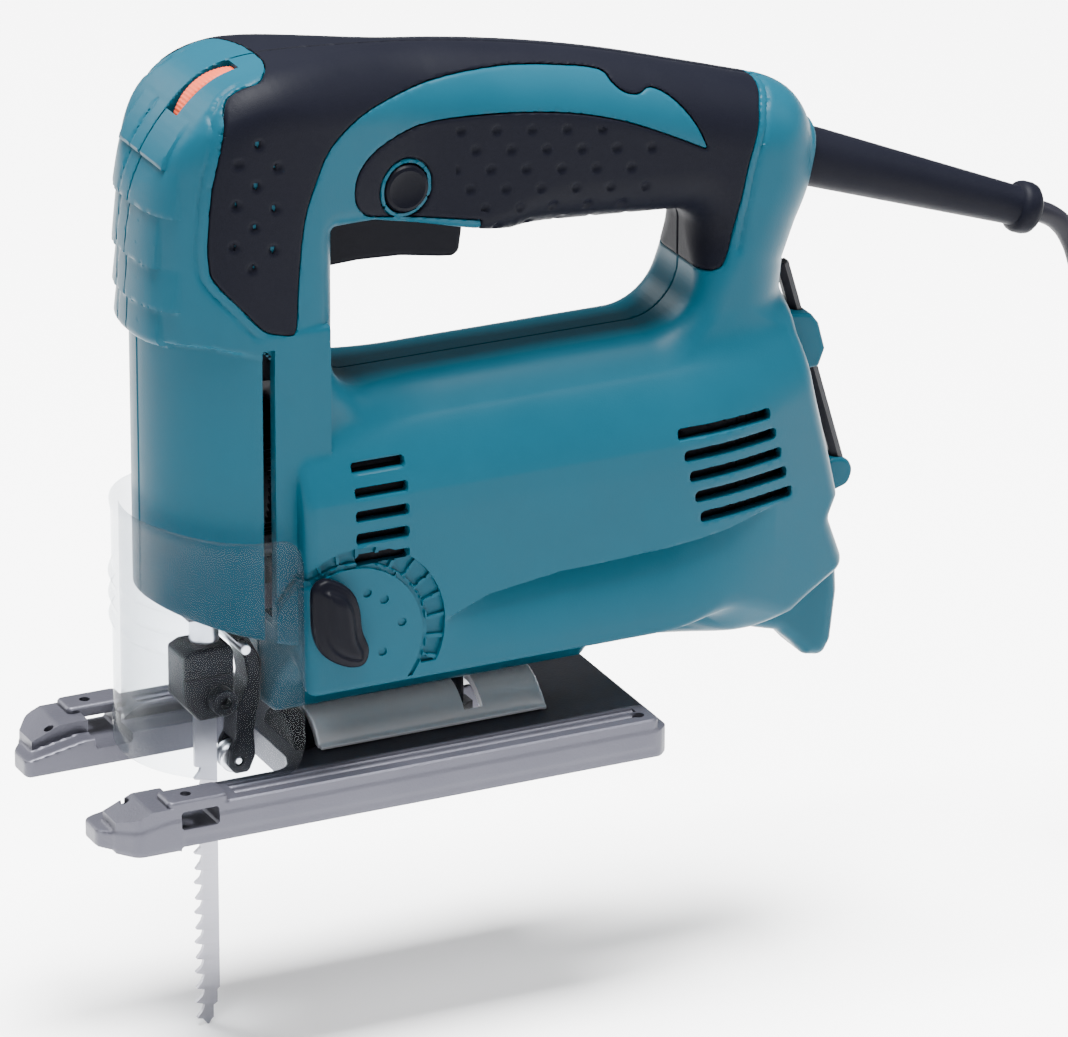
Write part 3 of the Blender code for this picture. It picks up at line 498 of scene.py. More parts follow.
def make_camera():
    azimuth, elevation, roll = radians(-25.57), radians(22.2), radians(0.18)
    back = Vector((sin(azimuth) * cos(elevation), -cos(azimuth) * cos(elevation), sin(elevation)))
    right = Vector((cos(azimuth), sin(azimuth), 0))
    up = back.cross(right)
    right, up = right * cos(roll) + up * sin(roll), up * cos(roll) - right * sin(roll)
    data = bpy.data.cameras.new("camera")
    data.sensor_width = 36.0
    data.lens = 276.07
    data.clip_end = 50.0
    camera = bpy.data.objects.new("camera", data)
    turn = Matrix((right, up, back)).transposed().to_4x4()
    turn.translation = Vector((-0.8022, -1.7970, 0.8697))
    camera.matrix_world = turn
    bpy.context.scene.collection.objects.link(camera)
    bpy.context.scene.camera = camera


# ---- lead, plug and tie ----
GUARD_START = Vector((131.0, 0.0, 148.2))
GUARD_END = Vector((204.7, 0.0, 120.4))
COIL = Vector((279.0, 0.0, -70.5))
CORD_ROUTE = [
    (205.7, 0.0, 120.0), (210.0, 0.0, 118.1), (213.8, 0.0, 114.9), (216.7, 0.0, 110.5),
    (218.9, 0.0, 104.8), (220.6, 0.0, 97.3), (222.6, 0.0, 85.2), (226.2, 0.0, 66.0),
    (229.0, -0.5, 40.0), (231.4, -2.0, 10.0), (232.9, -4.0, -18.0), (233.8, -7.6, -40.0),
    (235.4, -14.0, -55.5), (238.4, -21.6, -64.4), (242.8, -28.8, -67.2), (248.9, -35.4, -67.2),
    (256.0, -40.4, -67.2)]
# The coil: angle round its centre in degrees, radius and height of the lead's middle.
COIL_TURNS = [
    (240.35, 46.5, -67.2), (330, 39.4, -67.2), (620, 39.4, -67.2), (690, 33, -67.2),
    (980, 33, -67.2), (1050, 26.6, -67.2), (1340, 26.6, -67.2), (1410, 26.6, -61), (1700, 26.6, -61),
    (1770, 33, -61), (2060, 33, -61), (2130, 39.4, -61), (2420, 39.4, -61), (2490, 39.4, -54.7),
    (2780, 39.4, -54.7), (2850, 33, -54.7), (3140, 33, -54.7), (3210, 26.6, -54.7),
    (3330, 26.6, -54.7), (3395, 26.9, -48.3), (3482, 33.0, -42.9)]


def make_cord():
    points = [Vector(p) for p in CORD_ROUTE]
    ahead = (GUARD_END - GUARD_START).normalized()
    points[0] = GUARD_END - ahead * 2.2
    angles = [k[0] for k in COIL_TURNS]
    for angle in np.arange(258, 3470, 18.0):
        step = max(i for i, a in enumerate(angles) if a <= angle)
        t = ramp(angle, angles[step], angles[step + 1])
        radius, height = [COIL_TURNS[step][k] * (1 - t) + COIL_TURNS[step + 1][k] * t
                          for k in (1, 2)]
        turn = radians(angle)
        points.append(Vector((COIL.x + radius * cos(turn), COIL.y + radius * sin(turn), height)))
    points.append(Vector((COIL.x - 14.2, COIL.y - 29.5, -42.75)))
    data = bpy.data.curves.new("lead", "CURVE")
    data.dimensions = "3D"
    data.bevel_depth = 3.0 * MM
    data.bevel_resolution = 5
    data.resolution_u = 5
    data.use_fill_caps = True
    spline = data.splines.new("BEZIER")
    spline.bezier_points.add(len(points) - 1)
    for knot, point in zip(spline.bezier_points, points):
        knot.co = point * MM
        knot.handle_left_type = knot.handle_right_type = "AUTO"
    data.materials.append(LOOKS["cord_rubber"])
    cord = bpy.data.objects.new("lead", data)
    bpy.context.scene.collection.objects.link(cord)
    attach(cord, "housing")
    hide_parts("cord", "cord_coil")
    plug = make_plug()
    tie = make_tie()
    guard = make_guard()
    bpy.context.view_layer.update()
    dense = []
    for a, b in zip(spline.bezier_points, list(spline.bezier_points)[1:]):
        for k in range(8):
            t = k / 8
            dense.append(a.co * (1 - t) ** 3 + 3 * a.handle_right * t * (1 - t) ** 2
                         + 3 * b.handle_left * t * t * (1 - t) + b.co * t ** 3)
    length = sum((b - a).length for a, b in zip(dense, dense[1:]))


def make_plug():
    """Moulded two-pin plug with a ribbed waist, lying on the coil."""
    x0, y0, z0 = COIL.x - 15.4, COIL.y - 29.5, -42.7
    rows = [(0, 4.3, 4.3), (2, 5, 4.9), (3, 4.2, 4.2), (5, 5.4, 5), (6, 4.6, 4.4), (8, 6.2, 5.4),
            (9.2, 5.6, 5), (11.5, 8.6, 6.4), (14, 11.6, 7.2), (20, 12.3, 7.7), (30, 12.5, 8),
            (33.6, 12.3, 7.9), (36.6, 11.8, 7.4), (38, 10.4, 6.2)]
    points, faces = [], []
    sides = 36
    for along, half_y, half_z in rows:
        for i in range(sides):
            angle = 2 * pi * i / sides
            c, s = cos(angle), sin(angle)
            squeeze = (abs(c) ** 3 + abs(s) ** 3) ** (-1 / 3)
            points.append((x0 + along, y0 + half_y * c * squeeze, z0 + half_z * s * squeeze))
    for level in range(len(rows) - 1):
        for i in range(sides):
            j = (i + 1) % sides
            a, b = level * sides, (level + 1) * sides
            faces.append([a + i, a + j, b + j, b + i])
    faces.append(list(range(sides))[::-1])
    faces.append(list(range(len(points) - sides, len(points))))
    pieces = [add_object("plug_body", points, faces, "black_plastic", "housing", ("plug",), 40)]
    for number, side in enumerate((-9.5, 9.5), 1):
        pieces.append(turned("plug_pin_%d" % number,
                             [(0, 36.5), (1.9, 36.5), (2.0, 37), (2.0, 54.6), (1.5, 56.4), (0, 57)],
                             (x0, y0 + side, z0), (1, 0, 0), 20, "bright_steel", "housing"))
    return pieces


def make_tie():
    """A fabric strap round the coil."""
    turn = radians(62)
    inner, outer, low, high = 22.9, 43.1, -70.35, -50.9
    middle_r, middle_z = (inner + outer) / 2, (low + high) / 2
    points, faces = [], []
    sides = 48
    for side in (-4.0, 4.0):
        for thick in (0.0, 1.0):
            for i in range(sides):
                angle = 2 * pi * i / sides
                c, s = cos(angle), sin(angle)
                squeeze = (abs(c) ** 5 + abs(s) ** 5) ** (-1 / 5)
                grow = thick * (0.12 if s < -0.5 else 0.9)
                r = middle_r + ((outer - inner) / 2 + grow) * c * squeeze
                z = middle_z + ((high - low) / 2 + grow) * s * squeeze
                z = max(z, -70.45 + 0.05 * (1 - thick))
                points.append((COIL.x + r * cos(turn) - side * sin(turn),
                               COIL.y + r * sin(turn) + side * cos(turn), z))
    for i in range(sides):
        j = (i + 1) % sides
        a, b, c, d = 0, sides, 2 * sides, 3 * sides
        faces += [[a + i, a + j, b + j, b + i], [b + i, b + j, d + j, d + i],
                  [d + i, d + j, c + j, c + i], [c + i, c + j, a + j, a + i]]
    return outwards(add_object("lead_tie", points, faces, "cord_rubber", "housing", (), 40))


def make_guard():
    """Rubber bend protector: flange in the housing, plain taper, rounded collar at the tip."""
    length = (GUARD_END - GUARD_START).length
    profile = [(0, 0), (7.7, 0), (8.0, 0.4), (7.9, 8)]
    for k in range(1, 13):
        t = k / 12
        profile.append((7.9 - 2.5 * t, 8 + (length - 14.8) * t))
    profile += [(5.5, length - 6.4), (6.1, length - 6.1), (6.8, length - 5.4), (7.1, length - 4.4),
                (7.1, length - 2.4), (6.8, length - 1.2), (6.0, length - 0.4), (5.0, length),
                (3.6, length), (3.1, length - 0.4), (3.1, length - 3.0), (0, length - 3.0)]
    return turned("cord_guard_body", profile, GUARD_START, GUARD_END - GUARD_START, 48,
                  "grip_rubber", "housing", ("cord_guard",))


# ---- the shells and their rubber ----
RUBBER = Outline(np.vstack([
    [(-38.8, 206), (-38.8, 191)],
    smooth_line([(-39.5, 188), (-42.9, 173.9), (-44.3, 160), (-44.3, 151.5), (-43, 146.7),
                 (-37, 139.6), (-31, 132.8), (-26.6, 130.8), (-22.2, 130.1), (-21, 133),
                 (-20.5, 142.9), (-18.7, 159.5), (-15.2, 169.5), (-10.7, 177.7), (-1.5, 183.8),
                 (12.1, 186.6), (26.3, 188.1), (43.5, 187.6), (60, 185), (71.1, 182.3),
                 (73.2, 179.6), (75.5, 177.2), (78.4, 175.9), (81.1, 175.7), (84.4, 176.4),
                 (89.2, 173.8), (93.2, 169.5), (96.2, 164.8), (98.4, 159.9)], 3),
    smooth_line([(98.2, 159.4), (87.4, 164.8), (75.3, 170.1), (63.2, 173.9), (51, 176.3),
                 (36.4, 177.9), (20.2, 178.5), (10, 176.6), (1.8, 173.2), (-2.7, 168.1),
                 (-3.4, 162), (-0.4, 157.6), (4.4, 155.6), (18, 152.8), (34, 149.4)], 3),
    [(34.4, 147.5), (34.4, 128), (96, 123.6), (101.5, 123.9)],
    smooth_line([(103.3, 124.7), (104.8, 126.3), (106.5, 131.3), (108.9, 143.4), (111.5, 155),
                 (114.6, 162.7), (116.1, 166.7), (118.7, 170.4), (121, 176)], 3),
    [(121, 206)]]), *SPAN, 0.35)
TAB = Outline(np.vstack([
    [(-80, -12), (-80, 20.8)],
    smooth_line([(-38.8, 20.8), (-36.9, 18.4), (-32.5, 17.8), (-29.2, 18.2), (-26.7, 16.9),
                 (-23.8, 12.4), (-21.9, 6.8), (-21.2, 0)], 3),
    [(-21.2, -12)]]), (-66, -4), (0, 42), 0.35)
BUTTON = (12.4, 161.9)
DIAL = (-30.0, 180.6)
LEVER = (-12.5, 50.0)
LEVER_DISC = (-9.0, 45.5)
RUBBER_DEPTH = 1.35
AHEAD = np.array((GUARD_END - GUARD_START).normalized())


def guard_line(x, a, z):
    """Place along the cord guard's middle line, and the distance from that line."""
    u, v = x - GUARD_START.x, z - GUARD_START.z
    return u * AHEAD[0] + v * AHEAD[2], np.hypot(-u * AHEAD[2] + v * AHEAD[0], a)


def detailed_skin(x, a, z):
    """The skin with its overlapping front plates and the rear collar."""
    skin = body_skin(x, a, z)
    rows = np.array([127.0, 138.0, 149.0, 163.0, 175.0, 187.0])
    row = np.clip(np.searchsorted(rows, z) - 1, 0, 4)
    rise = np.clip((z - rows[row]) / (rows[row + 1] - rows[row]), 0, 1)
    width = np.where(row % 2 == 1, 18.5, 14.0)
    tooth = 1.3 * (1 - rise) * (z > 127) * (z < 187)
    tooth = tooth * (1 - ramp(a, width - 0.4, width + 0.4)) * (1 - ramp(x, -44, -36))
    # A tongue runs over the plates' middle, split by a fine line from its neighbours.
    tongue = np.abs(a - 6.2) - 0.35
    tooth = np.where((tongue < 0) & (z > 127) & (z < 187) & (x < -36), tooth - 0.5, tooth)
    skin = skin - tooth
    along, across = guard_line(x, a, z)
    return round_min(skin, slab(across - 10.4, along, -8, 2.4, 1.2), 1.0)


def rubber_area(x, a, z, side):
    """Below zero where rubber covers the shell."""
    area = both(RUBBER(x, z), -both(TAB(x, a), 172 - z))
    if side < 0:
        area = carve(area, disc(x, z, BUTTON, 7.7))
    return area


def vents(x, z):
    """Below zero inside the ten slots of the motor case, seen from the side."""
    best = np.full(x.shape, 9.0)
    for row in range(5):
        top = 68.8 + 6.1 * row
        slot = round_max(np.abs(x) - 7.4, np.abs(z - top + 1.45) - 1.45, 0.9)
        best = either(best, slot)
        top, left, right = 64 + 5.95 * row, 91.4 - 1.65 * row, 121.5 - 1.95 * row
        slot = round_max(np.abs(x - (left + right) / 2) - (right - left) / 2,
                         np.abs(z - top + 1.6) - 1.6, 1.2)
        best = either(best, slot)
    return best


SCREWS = [(-13.2, 142, 21.0), (116, 155, 13.6), (109.5, 106, 13.6), (101, 46, 23.8),
          (-13, 40, 18.4), (64, 98, 15.8)]


def lever_relief(shell, x, z, base):
    """The round seat of the orbital lever, its ring, marks and ribbed crescent."""
    out = np.hypot(x - LEVER_DISC[0], z - LEVER_DISC[1])
    shell = carve(shell, both(np.abs(out - 20.6) - 0.55, -(base + 0.8), 33 - z))
    outer = np.hypot(x - LEVER_DISC[0] - 2.5, z - LEVER_DISC[1] - 1.5) - 24.0
    crescent = both(outer, 21.6 - out, -(base + 1.4), 36 - z)
    angle = np.arctan2(z - LEVER_DISC[1], x - LEVER_DISC[0])
    ribs = np.abs((angle / 0.23) % 1.0 - 0.5) * 0.23 * 22 - 0.45
    crescent = carve(crescent, both(ribs, base + 0.5))
    shell = carve(shell, crescent)
    for mx, mz in ((-4.5, 58.2), (0.3, 55.6), (5.3, 48.5), (-0.3, 41.2)):
        shell = carve(shell, both(disc(x, z, (mx, mz), 1.2), -(base + 0.6)))
    return shell


def shell_field(side):
    """Left (-1) or right (1) half of the housing."""
    def field(x, y, z):
        a = np.abs(y)
        base = body_skin(x, a, z)
        skin = detailed_skin(x, a, z)
        area = rubber_area(x, a, z, side)
        # A fine moulded line follows the rubber's edge on the pad and behind the handle.
        track = np.maximum(1 - ramp(x, -34, -30), ramp(x, 102, 104) * ramp(z, 128, 130))
        skin = skin + 0.5 * np.exp(-((area - 2.2) / 0.62) ** 2) * track
        shell = both(skin, either(-area, skin + RUBBER_DEPTH))
        shell = np.where(skin > -1.2, round_max(skin, -area, 0.5), shell)
        hollow = base + 3.4
        nose = round_max(front_plan(x, a, 22.8, -51.3), both(z - 126.5, x + 14), 1.0)
        nose = both(nose, np.where(x < -22.6, -99.0, 47 - z))
        shell = carve(shell, either(hollow, nose))
        for sx, sz, seat in SCREWS:
            boss = both(disc(x, z, (sx, sz), 3.6), a - seat - 1.3)
            shell = either(shell, both(boss, base + 0.4))
            bore = disc(x, z, (sx, sz), 1.8)
            if side > 0:
                head = both(disc(x, z, (sx, sz), 3.2), seat - a)
                shell = carve(shell, either(bore, head))
            else:
                shell = carve(shell, both(bore, a - 9))
        shell = round_max(shell, -both(vents(x, z), 12 - a), 0.5)
        shell = carve(shell, box_distance(x, y, z, (-8.0, -7, 120), (35.0, 7, 157.8), 0.5))
        shell = carve(shell, both(disc(x, y, (35, 0), 2.4), z - 26))
        groove = both(np.abs(x + 29.3) - 1.7, z - 127, -(base + 3.2))
        shell = carve(shell, both(groove, 10 - a))
        along, across = guard_line(x, a, z)
        shell = carve(shell, both(across - 8.3, -0.4 - along))
        if side < 0:
            shell = carve(shell, both(disc(x, z, BUTTON, 6.7), 7.4 - a))
            shell = carve(shell, both(disc(x, z, LEVER, 4.2), 20 - a))
            # The dial turns in a round room that opens through a window in the skin.
            room = both(disc(x, z, DIAL, 15.6), skin + 1.0)
            room = either(room, np.abs(x + 37) - 8.5)
            room = both(room, 180 - z, disc(x, z, DIAL, 17.5))
            shell = carve(shell, both(room, np.abs(y + 3.45) - 3.45))
            shell = lever_relief(shell, x, z, base)
        gap = side * -y + 0.15
        return both(shell, gap, (skin + gap) * 0.7071 + 0.3)
    return field


PAD_DIMPLES = [(x - 0.7 * row, z - 10.9 * row) for x, z, count in (
    (-36.7, 178.0, 3), (-31.4, 182.5, 4), (-26.3, 175.8, 3)) for row in range(count)]


def dimples(x, z):
    """Depth of the small hollows in the handle rubber and the front pads."""
    u, v = x - 48.4, z - 171.9
    scale = 4.2 * -4.5 - -5.85 * -5.8
    p, q = (u * -4.5 - v * -5.8) / scale, (4.2 * v - -5.85 * u) / scale
    du, dv = p - np.round(p), q - np.round(q)
    far = np.hypot(4.2 * du - 5.8 * dv, -5.85 * du - 4.5 * dv)
    inside = (RUBBER(x, z) < -2.6) & (x > 27) & (x < 84) & (z < 176)
    depth = np.where(inside, 0.62 * np.exp(-(far / 1.25) ** 4), 0)
    far = np.full(x.shape, 99.0)
    for px, pz in PAD_DIMPLES:
        far = either(far, np.hypot(x - px, z - pz))
    return depth + np.where(RUBBER(x, z) < -1.0, 0.85 * np.exp(-(far / 1.35) ** 4), 0)


def grip_field(side):
    """The rubber moulded onto one shell."""
    def field(x, y, z):
        a = np.abs(y)
        skin = body_skin(x, a, z)
        area = rubber_area(x, a, z, side) + 0.28
        top = skin - 0.1 + dimples(x, z)
        body = round_max(top, area, 0.7)
        body = both(body, -(skin + RUBBER_DEPTH - 0.1))
        if side < 0:
            body = carve(body, box_distance(x, y, z, (-50, -7.4, 160), (-27, 1, 215), 0.8))
        gap = side * -y + 0.15
        return both(body, gap, (skin + gap) * 0.7071 + 0.25)
    return field


def make_housing():
    for side, name in ((-1, "left"), (1, "right")):
        low, high = (-33.0, 0.9) if side < 0 else (-0.9, 33.0)
        solid("shell_" + name, shell_field(side), (-60, low, 3), (148, high, 200), 0.8,
              "housing_teal", "housing", ("housing_" + name,))
        low, high = (-29.0, 0.9) if side < 0 else (-0.9, 29.0)
        solid("rubber_" + name, grip_field(side), (-48, low, 120), (124, high, 200),
              0.55, "grip_rubber", "housing", ("grip_" + name,))


KEY_START = Vector((129.5, 0, 117.6))
KEY_DIRECTION = Vector((18.0, 0, -60.9)).normalized()


def key_line(x, y, z):
    """Distance from the middle line of the hex key."""
    u = (x - KEY_START.x) * -KEY_DIRECTION.z + (z - KEY_START.z) * KEY_DIRECTION.x
    return np.hypot(u, y)


def make_vent_shade_sheets():
    """Painted shade: black sheets just inside the vents, hugging the shell, which hide the drive and
    stand in for the shaded inside of the motor case.
    """
    for side, name in ((-1, "left"), (1, "right")):
        low, high = (-31.0, -10.0) if side < 0 else (10.0, 31.0)
        for spot, front, back in (("front", -10, 10), ("rear", 80, 123)):
            def shade_sheet(x, y, z, front=front, back=back):
                sheet = np.abs(body_skin(x, np.abs(y), z) + 4.0) - 0.45
                return both(sheet, front - x, x - back, 58 - z, z - 97, 11 - np.abs(y))
            # The black sheet is painted shade, seen through the vent slots.
            solid("vent_shade_sheet_%s_%s" % (spot, name), shade_sheet, (front - 1, low, 57),
                  (back + 1, high, 98), 0.8, "black_plastic", "housing")


def make_key_parts():
    clip = rounded([(127.1, 105), (136.2, 103.4), (138.4, 100.5), (140.4, 93), (138.6, 88.2),
                    (131.2, 87.6)], 1.0)
    hook = rounded([(139.6, 56.6, 1), (144, 60.3, 2), (149, 59.6, 4), (150.4, 56, 4), (149, 52.2, 3),
                    (143.5, 50.6, 2), (138.6, 52.4, 1)])
    for name, outline, half, low, high in (("key_clip", clip, 5.5, 125, 86),
                                           ("key_hook", hook, 3.6, 137, 49)):
        outline = Outline(outline, (low - 2, high - 2), (low + 20, high + 21), 0.25)

        def field(x, y, z, outline=outline, half=half):
            block = slab(outline(x, z), y, -half, half, 1.0)
            return both(block, 2.3 - key_line(x, y, z))
        solid(name + "_body", field, (low - 1, -half - 1, high - 1), (low + 19, half + 1, high + 20),
              0.35, "housing_teal", "housing", (name,))
    turned("hex_key_rod", [(0, 0), (1.7, 0), (2.0, 0.4), (2.0, 63.6), (1.7, 64), (0, 64)],
           KEY_START, KEY_DIRECTION, 6, "dark_steel", "hex_key", ("hex_key",))


# ---- controls ----

def make_controls():
    outline = Outline(rounded([
        (-7.0, 152, 0.5), (-7.0, 140.4, 1.5), (-5.6, 138.8, 1), (4.7, 139.2, 8), (16.8, 138.6, 12),
        (28, 136.6, 6), (31.6, 136.2, 2), (33.4, 137.6, 2), (34.2, 143.5, 6), (34.2, 152, 0.5)]),
        (-10, 132), (38, 156), 0.3)

    def trigger(x, y, z):
        return slab(outline(x, z), y, -6.4, 6.4, 1.6)
    solid("trigger_body", trigger, (-8.5, -7.5, 134.5), (35.5, 7.5, 153), 0.5, "black_plastic",
          "trigger", ("trigger",))
    turned("lock_button_body", [(0, 0), (6.0, 0), (6.2, 0.3), (6.2, 7.6), (5.8, 8.2), (5.0, 8.5),
                                (4.2, 8.2), (2.5, 7.9), (0, 7.8)],
           (BUTTON[0], -11.2, BUTTON[1]), (0, -1, 0), 48, "black_plastic", "lock_button",
           ("lock_button",))

    def knurl(angle, radius, along):
        return 0.07 * cos(84 * angle) * (radius > 14.4)
    turned("speed_dial_body", [(2.2, 0), (13.8, 0), (14.6, 0.4), (14.8, 1.0), (14.8, 4.5),
                               (14.6, 5.1), (13.8, 5.5), (2.2, 5.5), (2.2, 0)],
           (DIAL[0], -0.8, DIAL[1]), (0, -1, 0), 336, "orange_plastic", "speed_dial",
           ("speed_dial",), knurl, 60)
    pointer = Outline(smooth_line([
        (-19.6, 64.8), (-16.4, 65.2), (-10.9, 61.7), (-8.3, 56.6), (-7.4, 49.6), (-5.6, 44.4),
        (-6.6, 40.6), (-9.6, 39.7), (-14.0, 41.2), (-18.4, 44.6), (-20.9, 50), (-21.4, 57),
        (-21.2, 62.6), (-19.6, 64.8)], 6)[:-1], (-26, 34), (0, 70), 0.25)

    def lever(x, y, z):
        flat = pointer(x, z)
        plate = slab(flat, y, -35.4, -31.6, 1.5)
        ridge = slab(flat + 1.8 + 0.45 * np.maximum(0, -34.5 - y), y, -38, -34, 1.8)
        shaft = slab(disc(x, z, LEVER, 3.8), y, -33, -23.5, 0.3)
        return either(round_min(plate, ridge, 1.2), shaft)
    solid("orbital_lever_body", lever, (-23.5, -39, 37.5), (-3, -22.5, 67.5), 0.45, "black_plastic",
          "orbital_lever", ("orbital_lever",))


# ---- clear cover ----

def make_cover():
    """Clear guard: a section carried along one straight side, round the nose and back."""
    points, faces = [], []
    straight, round_x = 6.1, -28.5
    along = [straight * k / 6 for k in range(7)]
    stations = [(round_x + straight - t, -pi / 2, t) for t in along]
    stations += [(round_x, -pi / 2 - pi * k / 48, straight) for k in range(1, 48)]
    stations += [(round_x + t, -pi * 3 / 2, straight - t) for t in along]
    ring = None
    for centre, angle, edge in stations:
        trim = straight - (straight ** 2 - (straight - edge) ** 2) ** 0.5
        slope = 2.5 * max(0.0, abs(sin(angle)) - 0.3) ** 2 / 0.49
        low, high = 11.4 + 1.3 * trim, 79.0 - slope - 1.15 * trim
        face_on = max(0.0, -cos(angle))
        grip = min(1.0, max(0.0, (face_on - 0.62) / 0.2))
        profile = [(29.6, high - 0.3), (29.5, high - 1.2)]
        profile += [(29.5, high + (low + 7 - high) * k / 8) for k in range(1, 9)]
        lip = 0.4 * min(1.0, 3 * face_on)
        wall = 31.3 + 0.2 * min(1.0, 3 * face_on)
        profile += [(29.7, low + 4), (30.2, low + 1.5), (30.6, low + 0.2), (31.0, low),
                    (wall + 0.8 * lip, low + 0.4), (wall + lip, low + 1.2),
                    (wall + lip, low + 7.2), (wall, low + 7.8)]
        for rib in (46.0, 52.0, 58.0):
            profile += [(wall, rib - 1.6), (wall + 0.7 * grip, rib - 0.8), (wall + 0.95 * grip, rib),
                        (wall + 0.7 * grip, rib + 0.8), (wall, rib + 1.6)]
        profile += [(wall, high - 8), (wall + 0.2 * lip, high - 2.4), (wall + lip, high - 1.6),
                    (wall + lip, high - 0.5), (wall, high), (30.4, high)]
        row = []
        for radius, z in profile:
            row.append(len(points))
            points.append((centre + radius * cos(angle), radius * sin(angle), z))
        if ring:
            count = len(row)
            for i in range(count):
                j = (i + 1) % count
                faces.append([ring[i], row[i], row[j], ring[j]])
        else:
            faces.append(row)
        ring = row
    faces.append(ring[::-1])
    outwards(add_object("dust_cover_body", points, faces, "clear_plastic", "dust_cover",
                        ("dust_cover",), 40))


# ---- base and saddle ----

def make_base():
    plan = Outline(rounded([
        (-72, 38, 4), (76.5, 38, 3), (79.5, 35, 3), (79.5, -35, 3), (76.5, -38, 3), (-72, -38, 4),
        (-79.5, -28, 4), (-79.5, -19, 2), (-22, -19, 6), (-19.5, -12, 5), (-19.5, 12, 5),
        (-22, 19, 6), (-79.5, 19, 2), (-79.5, 28, 4)]), (-82, -41), (82, 41), 0.4)
    access = Outline(rounded([(18, -9), (52, -9), (52, 9), (18, 9)], 3), (14, -12), (56, 12), 0.4)

    def base(x, y, z):
        a = np.abs(y)
        flat = plan(x, y)
        nose = np.interp(x, [-79.5, -64, -63], [4.6, 7.6, 8.0])
        body = round_max(slab(flat, z, 0, 8, 0.7), z - nose, 0.6)
        rail = slab(round_max(both(27 - a, flat), both(-50 - x, x - 76.5), 2.5), z, 3, 11, 0.8)
        block = slab(round_max(both(29 - a, flat), both(-63.5 - x, x + 46.7), 1.6), z, 3, 13, 1.0)
        shoulder = both(flat, 24 - a, z - 8 - 0.42 * (x + 76), z - 11.4)
        shoulder = both(shoulder, -76 - x, x + 60) * 0.9
        body = round_min(body, either(rail, block, shoulder), 0.8)
        # Lengthwise furrows leave two ridges on each rail.
        for middle in (30.0, 33.2):
            furrow = both(np.hypot(a - middle, z - 11.4) - 1.35, np.abs(x - 14.5) - 58)
            body = carve(body, furrow)
        rule_slot = box_distance(x, a, z, (-60, 18, 5), (-49.5, 50, 10), 1.0)
        body = carve(carve(body, rule_slot), access(x, y))
        for hx, hy, r in ((-70.5, 25.5, 1.3), (-57, 33.5, 1.4), (72, 33.5, 1.6)):
            body = carve(body, both(np.hypot(x - hx, a - hy) - r, 6 - z))
        return body
    solid("base_casting", base, (-81, -39.5, -1.2), (81, 39.5, 14.2), 0.6, "cast_aluminium", "base",
          ("base_plate",))

    def saddle(x, y, z):
        r = np.hypot(y, z - 4)
        flare = 12.8 + 1.4 * ramp(x, 50, 55) * (1 - ramp(z, 8, 14))
        tube = round_max(r - either(flare, 14.2), np.abs(x - 22.5) - 32.5, 0.6)
        tube = both(tube, 10.4 - r, 8.3 - z)
        a = np.abs(y)
        foot = box_distance(x, a, z, (-9.9, 11.2, 8.3), (54.9, 13.8, 9.1), 0.3)
        tube = round_min(tube, foot, 0.5)
        slot = both(np.abs(x - 35) - 2.7, np.arctan2(a, z - 4) * 12 - 12)
        hole = both(np.hypot(x - 17, y) - 1.7, 10 - z)
        return carve(tube, either(slot, hole))
    saddle = solid("saddle_body", saddle, (-11, -15.5, 7.3), (56, 15.5, 18), 0.45,
                   "bright_steel", "base", ("saddle",))
    saddle.material_slots[0].material = LOOKS["saddle_steel"]

    def cap(x, y, z):
        r = np.hypot(y, z - 4)
        block = round_max(r - 12.0, np.abs(x + 13.15) - 2.85, 1.0)
        return both(block, 3 - r, 8.3 - z)
    solid("saddle_cap_body", cap, (-17.2, -13.2, 7.4), (-9.2, 13.2, 17), 0.45, "black_plastic",
          "base", ("saddle_cap",))


# ---- blade and what holds it ----

CLAMP_SCREW = (-35.5, 25)
ARM_PIVOT = (-28.4, 37.6)
ROLLER = (-29.4, 5.2)


def make_blade():
    """The blade from its point up: height, front, back and sideways set of each level."""
    pitch, tip = 4.3, -70.5
    levels = [(tip, -37.6, -37.2, 0.0), (tip + 1.4, -38.7, -36.3, 0.0)]
    for i in range(17):
        z = tip + 1.6 + pitch * i
        lean = 0.28 if i % 2 else -0.28
        back = min(-34.0, -36.3 + 0.27 * (z - tip))
        levels += [(z, -38.4, back, 0.0), (z + 0.6, -40.5, back, lean), (z + 0.9, -40.4, back, lean),
                   (z + 2.3, -39.0, back, 0.0), (z + 3.6, -38.5, back, 0.0)]
    levels += [(4.0, -40.2, -34.0, 0.0), (32.0, -40.2, -34.0, 0.0)]
    points, faces = [], []
    for z, front, back, lean in levels:
        body = -38.2 if front < -38.2 else front + 0.1
        points += [(front, -0.6 + lean, z), (front, 0.6 + lean, z), (body, 0.65, z), (back, 0.65, z),
                   (back, -0.65, z), (body, -0.65, z)]
    for k in range(len(levels) - 1):
        for i in range(6):
            j = (i + 1) % 6
            faces.append([6 * k + i, 6 * k + j, 6 * k + 6 + j, 6 * k + 6 + i])
    faces.append([5, 4, 3, 2, 1, 0])
    faces.append([len(points) - 6 + i for i in range(6)])
    outwards(add_object("blade_body", points, faces, "blade_steel", "plunger", ("blade",), 20))


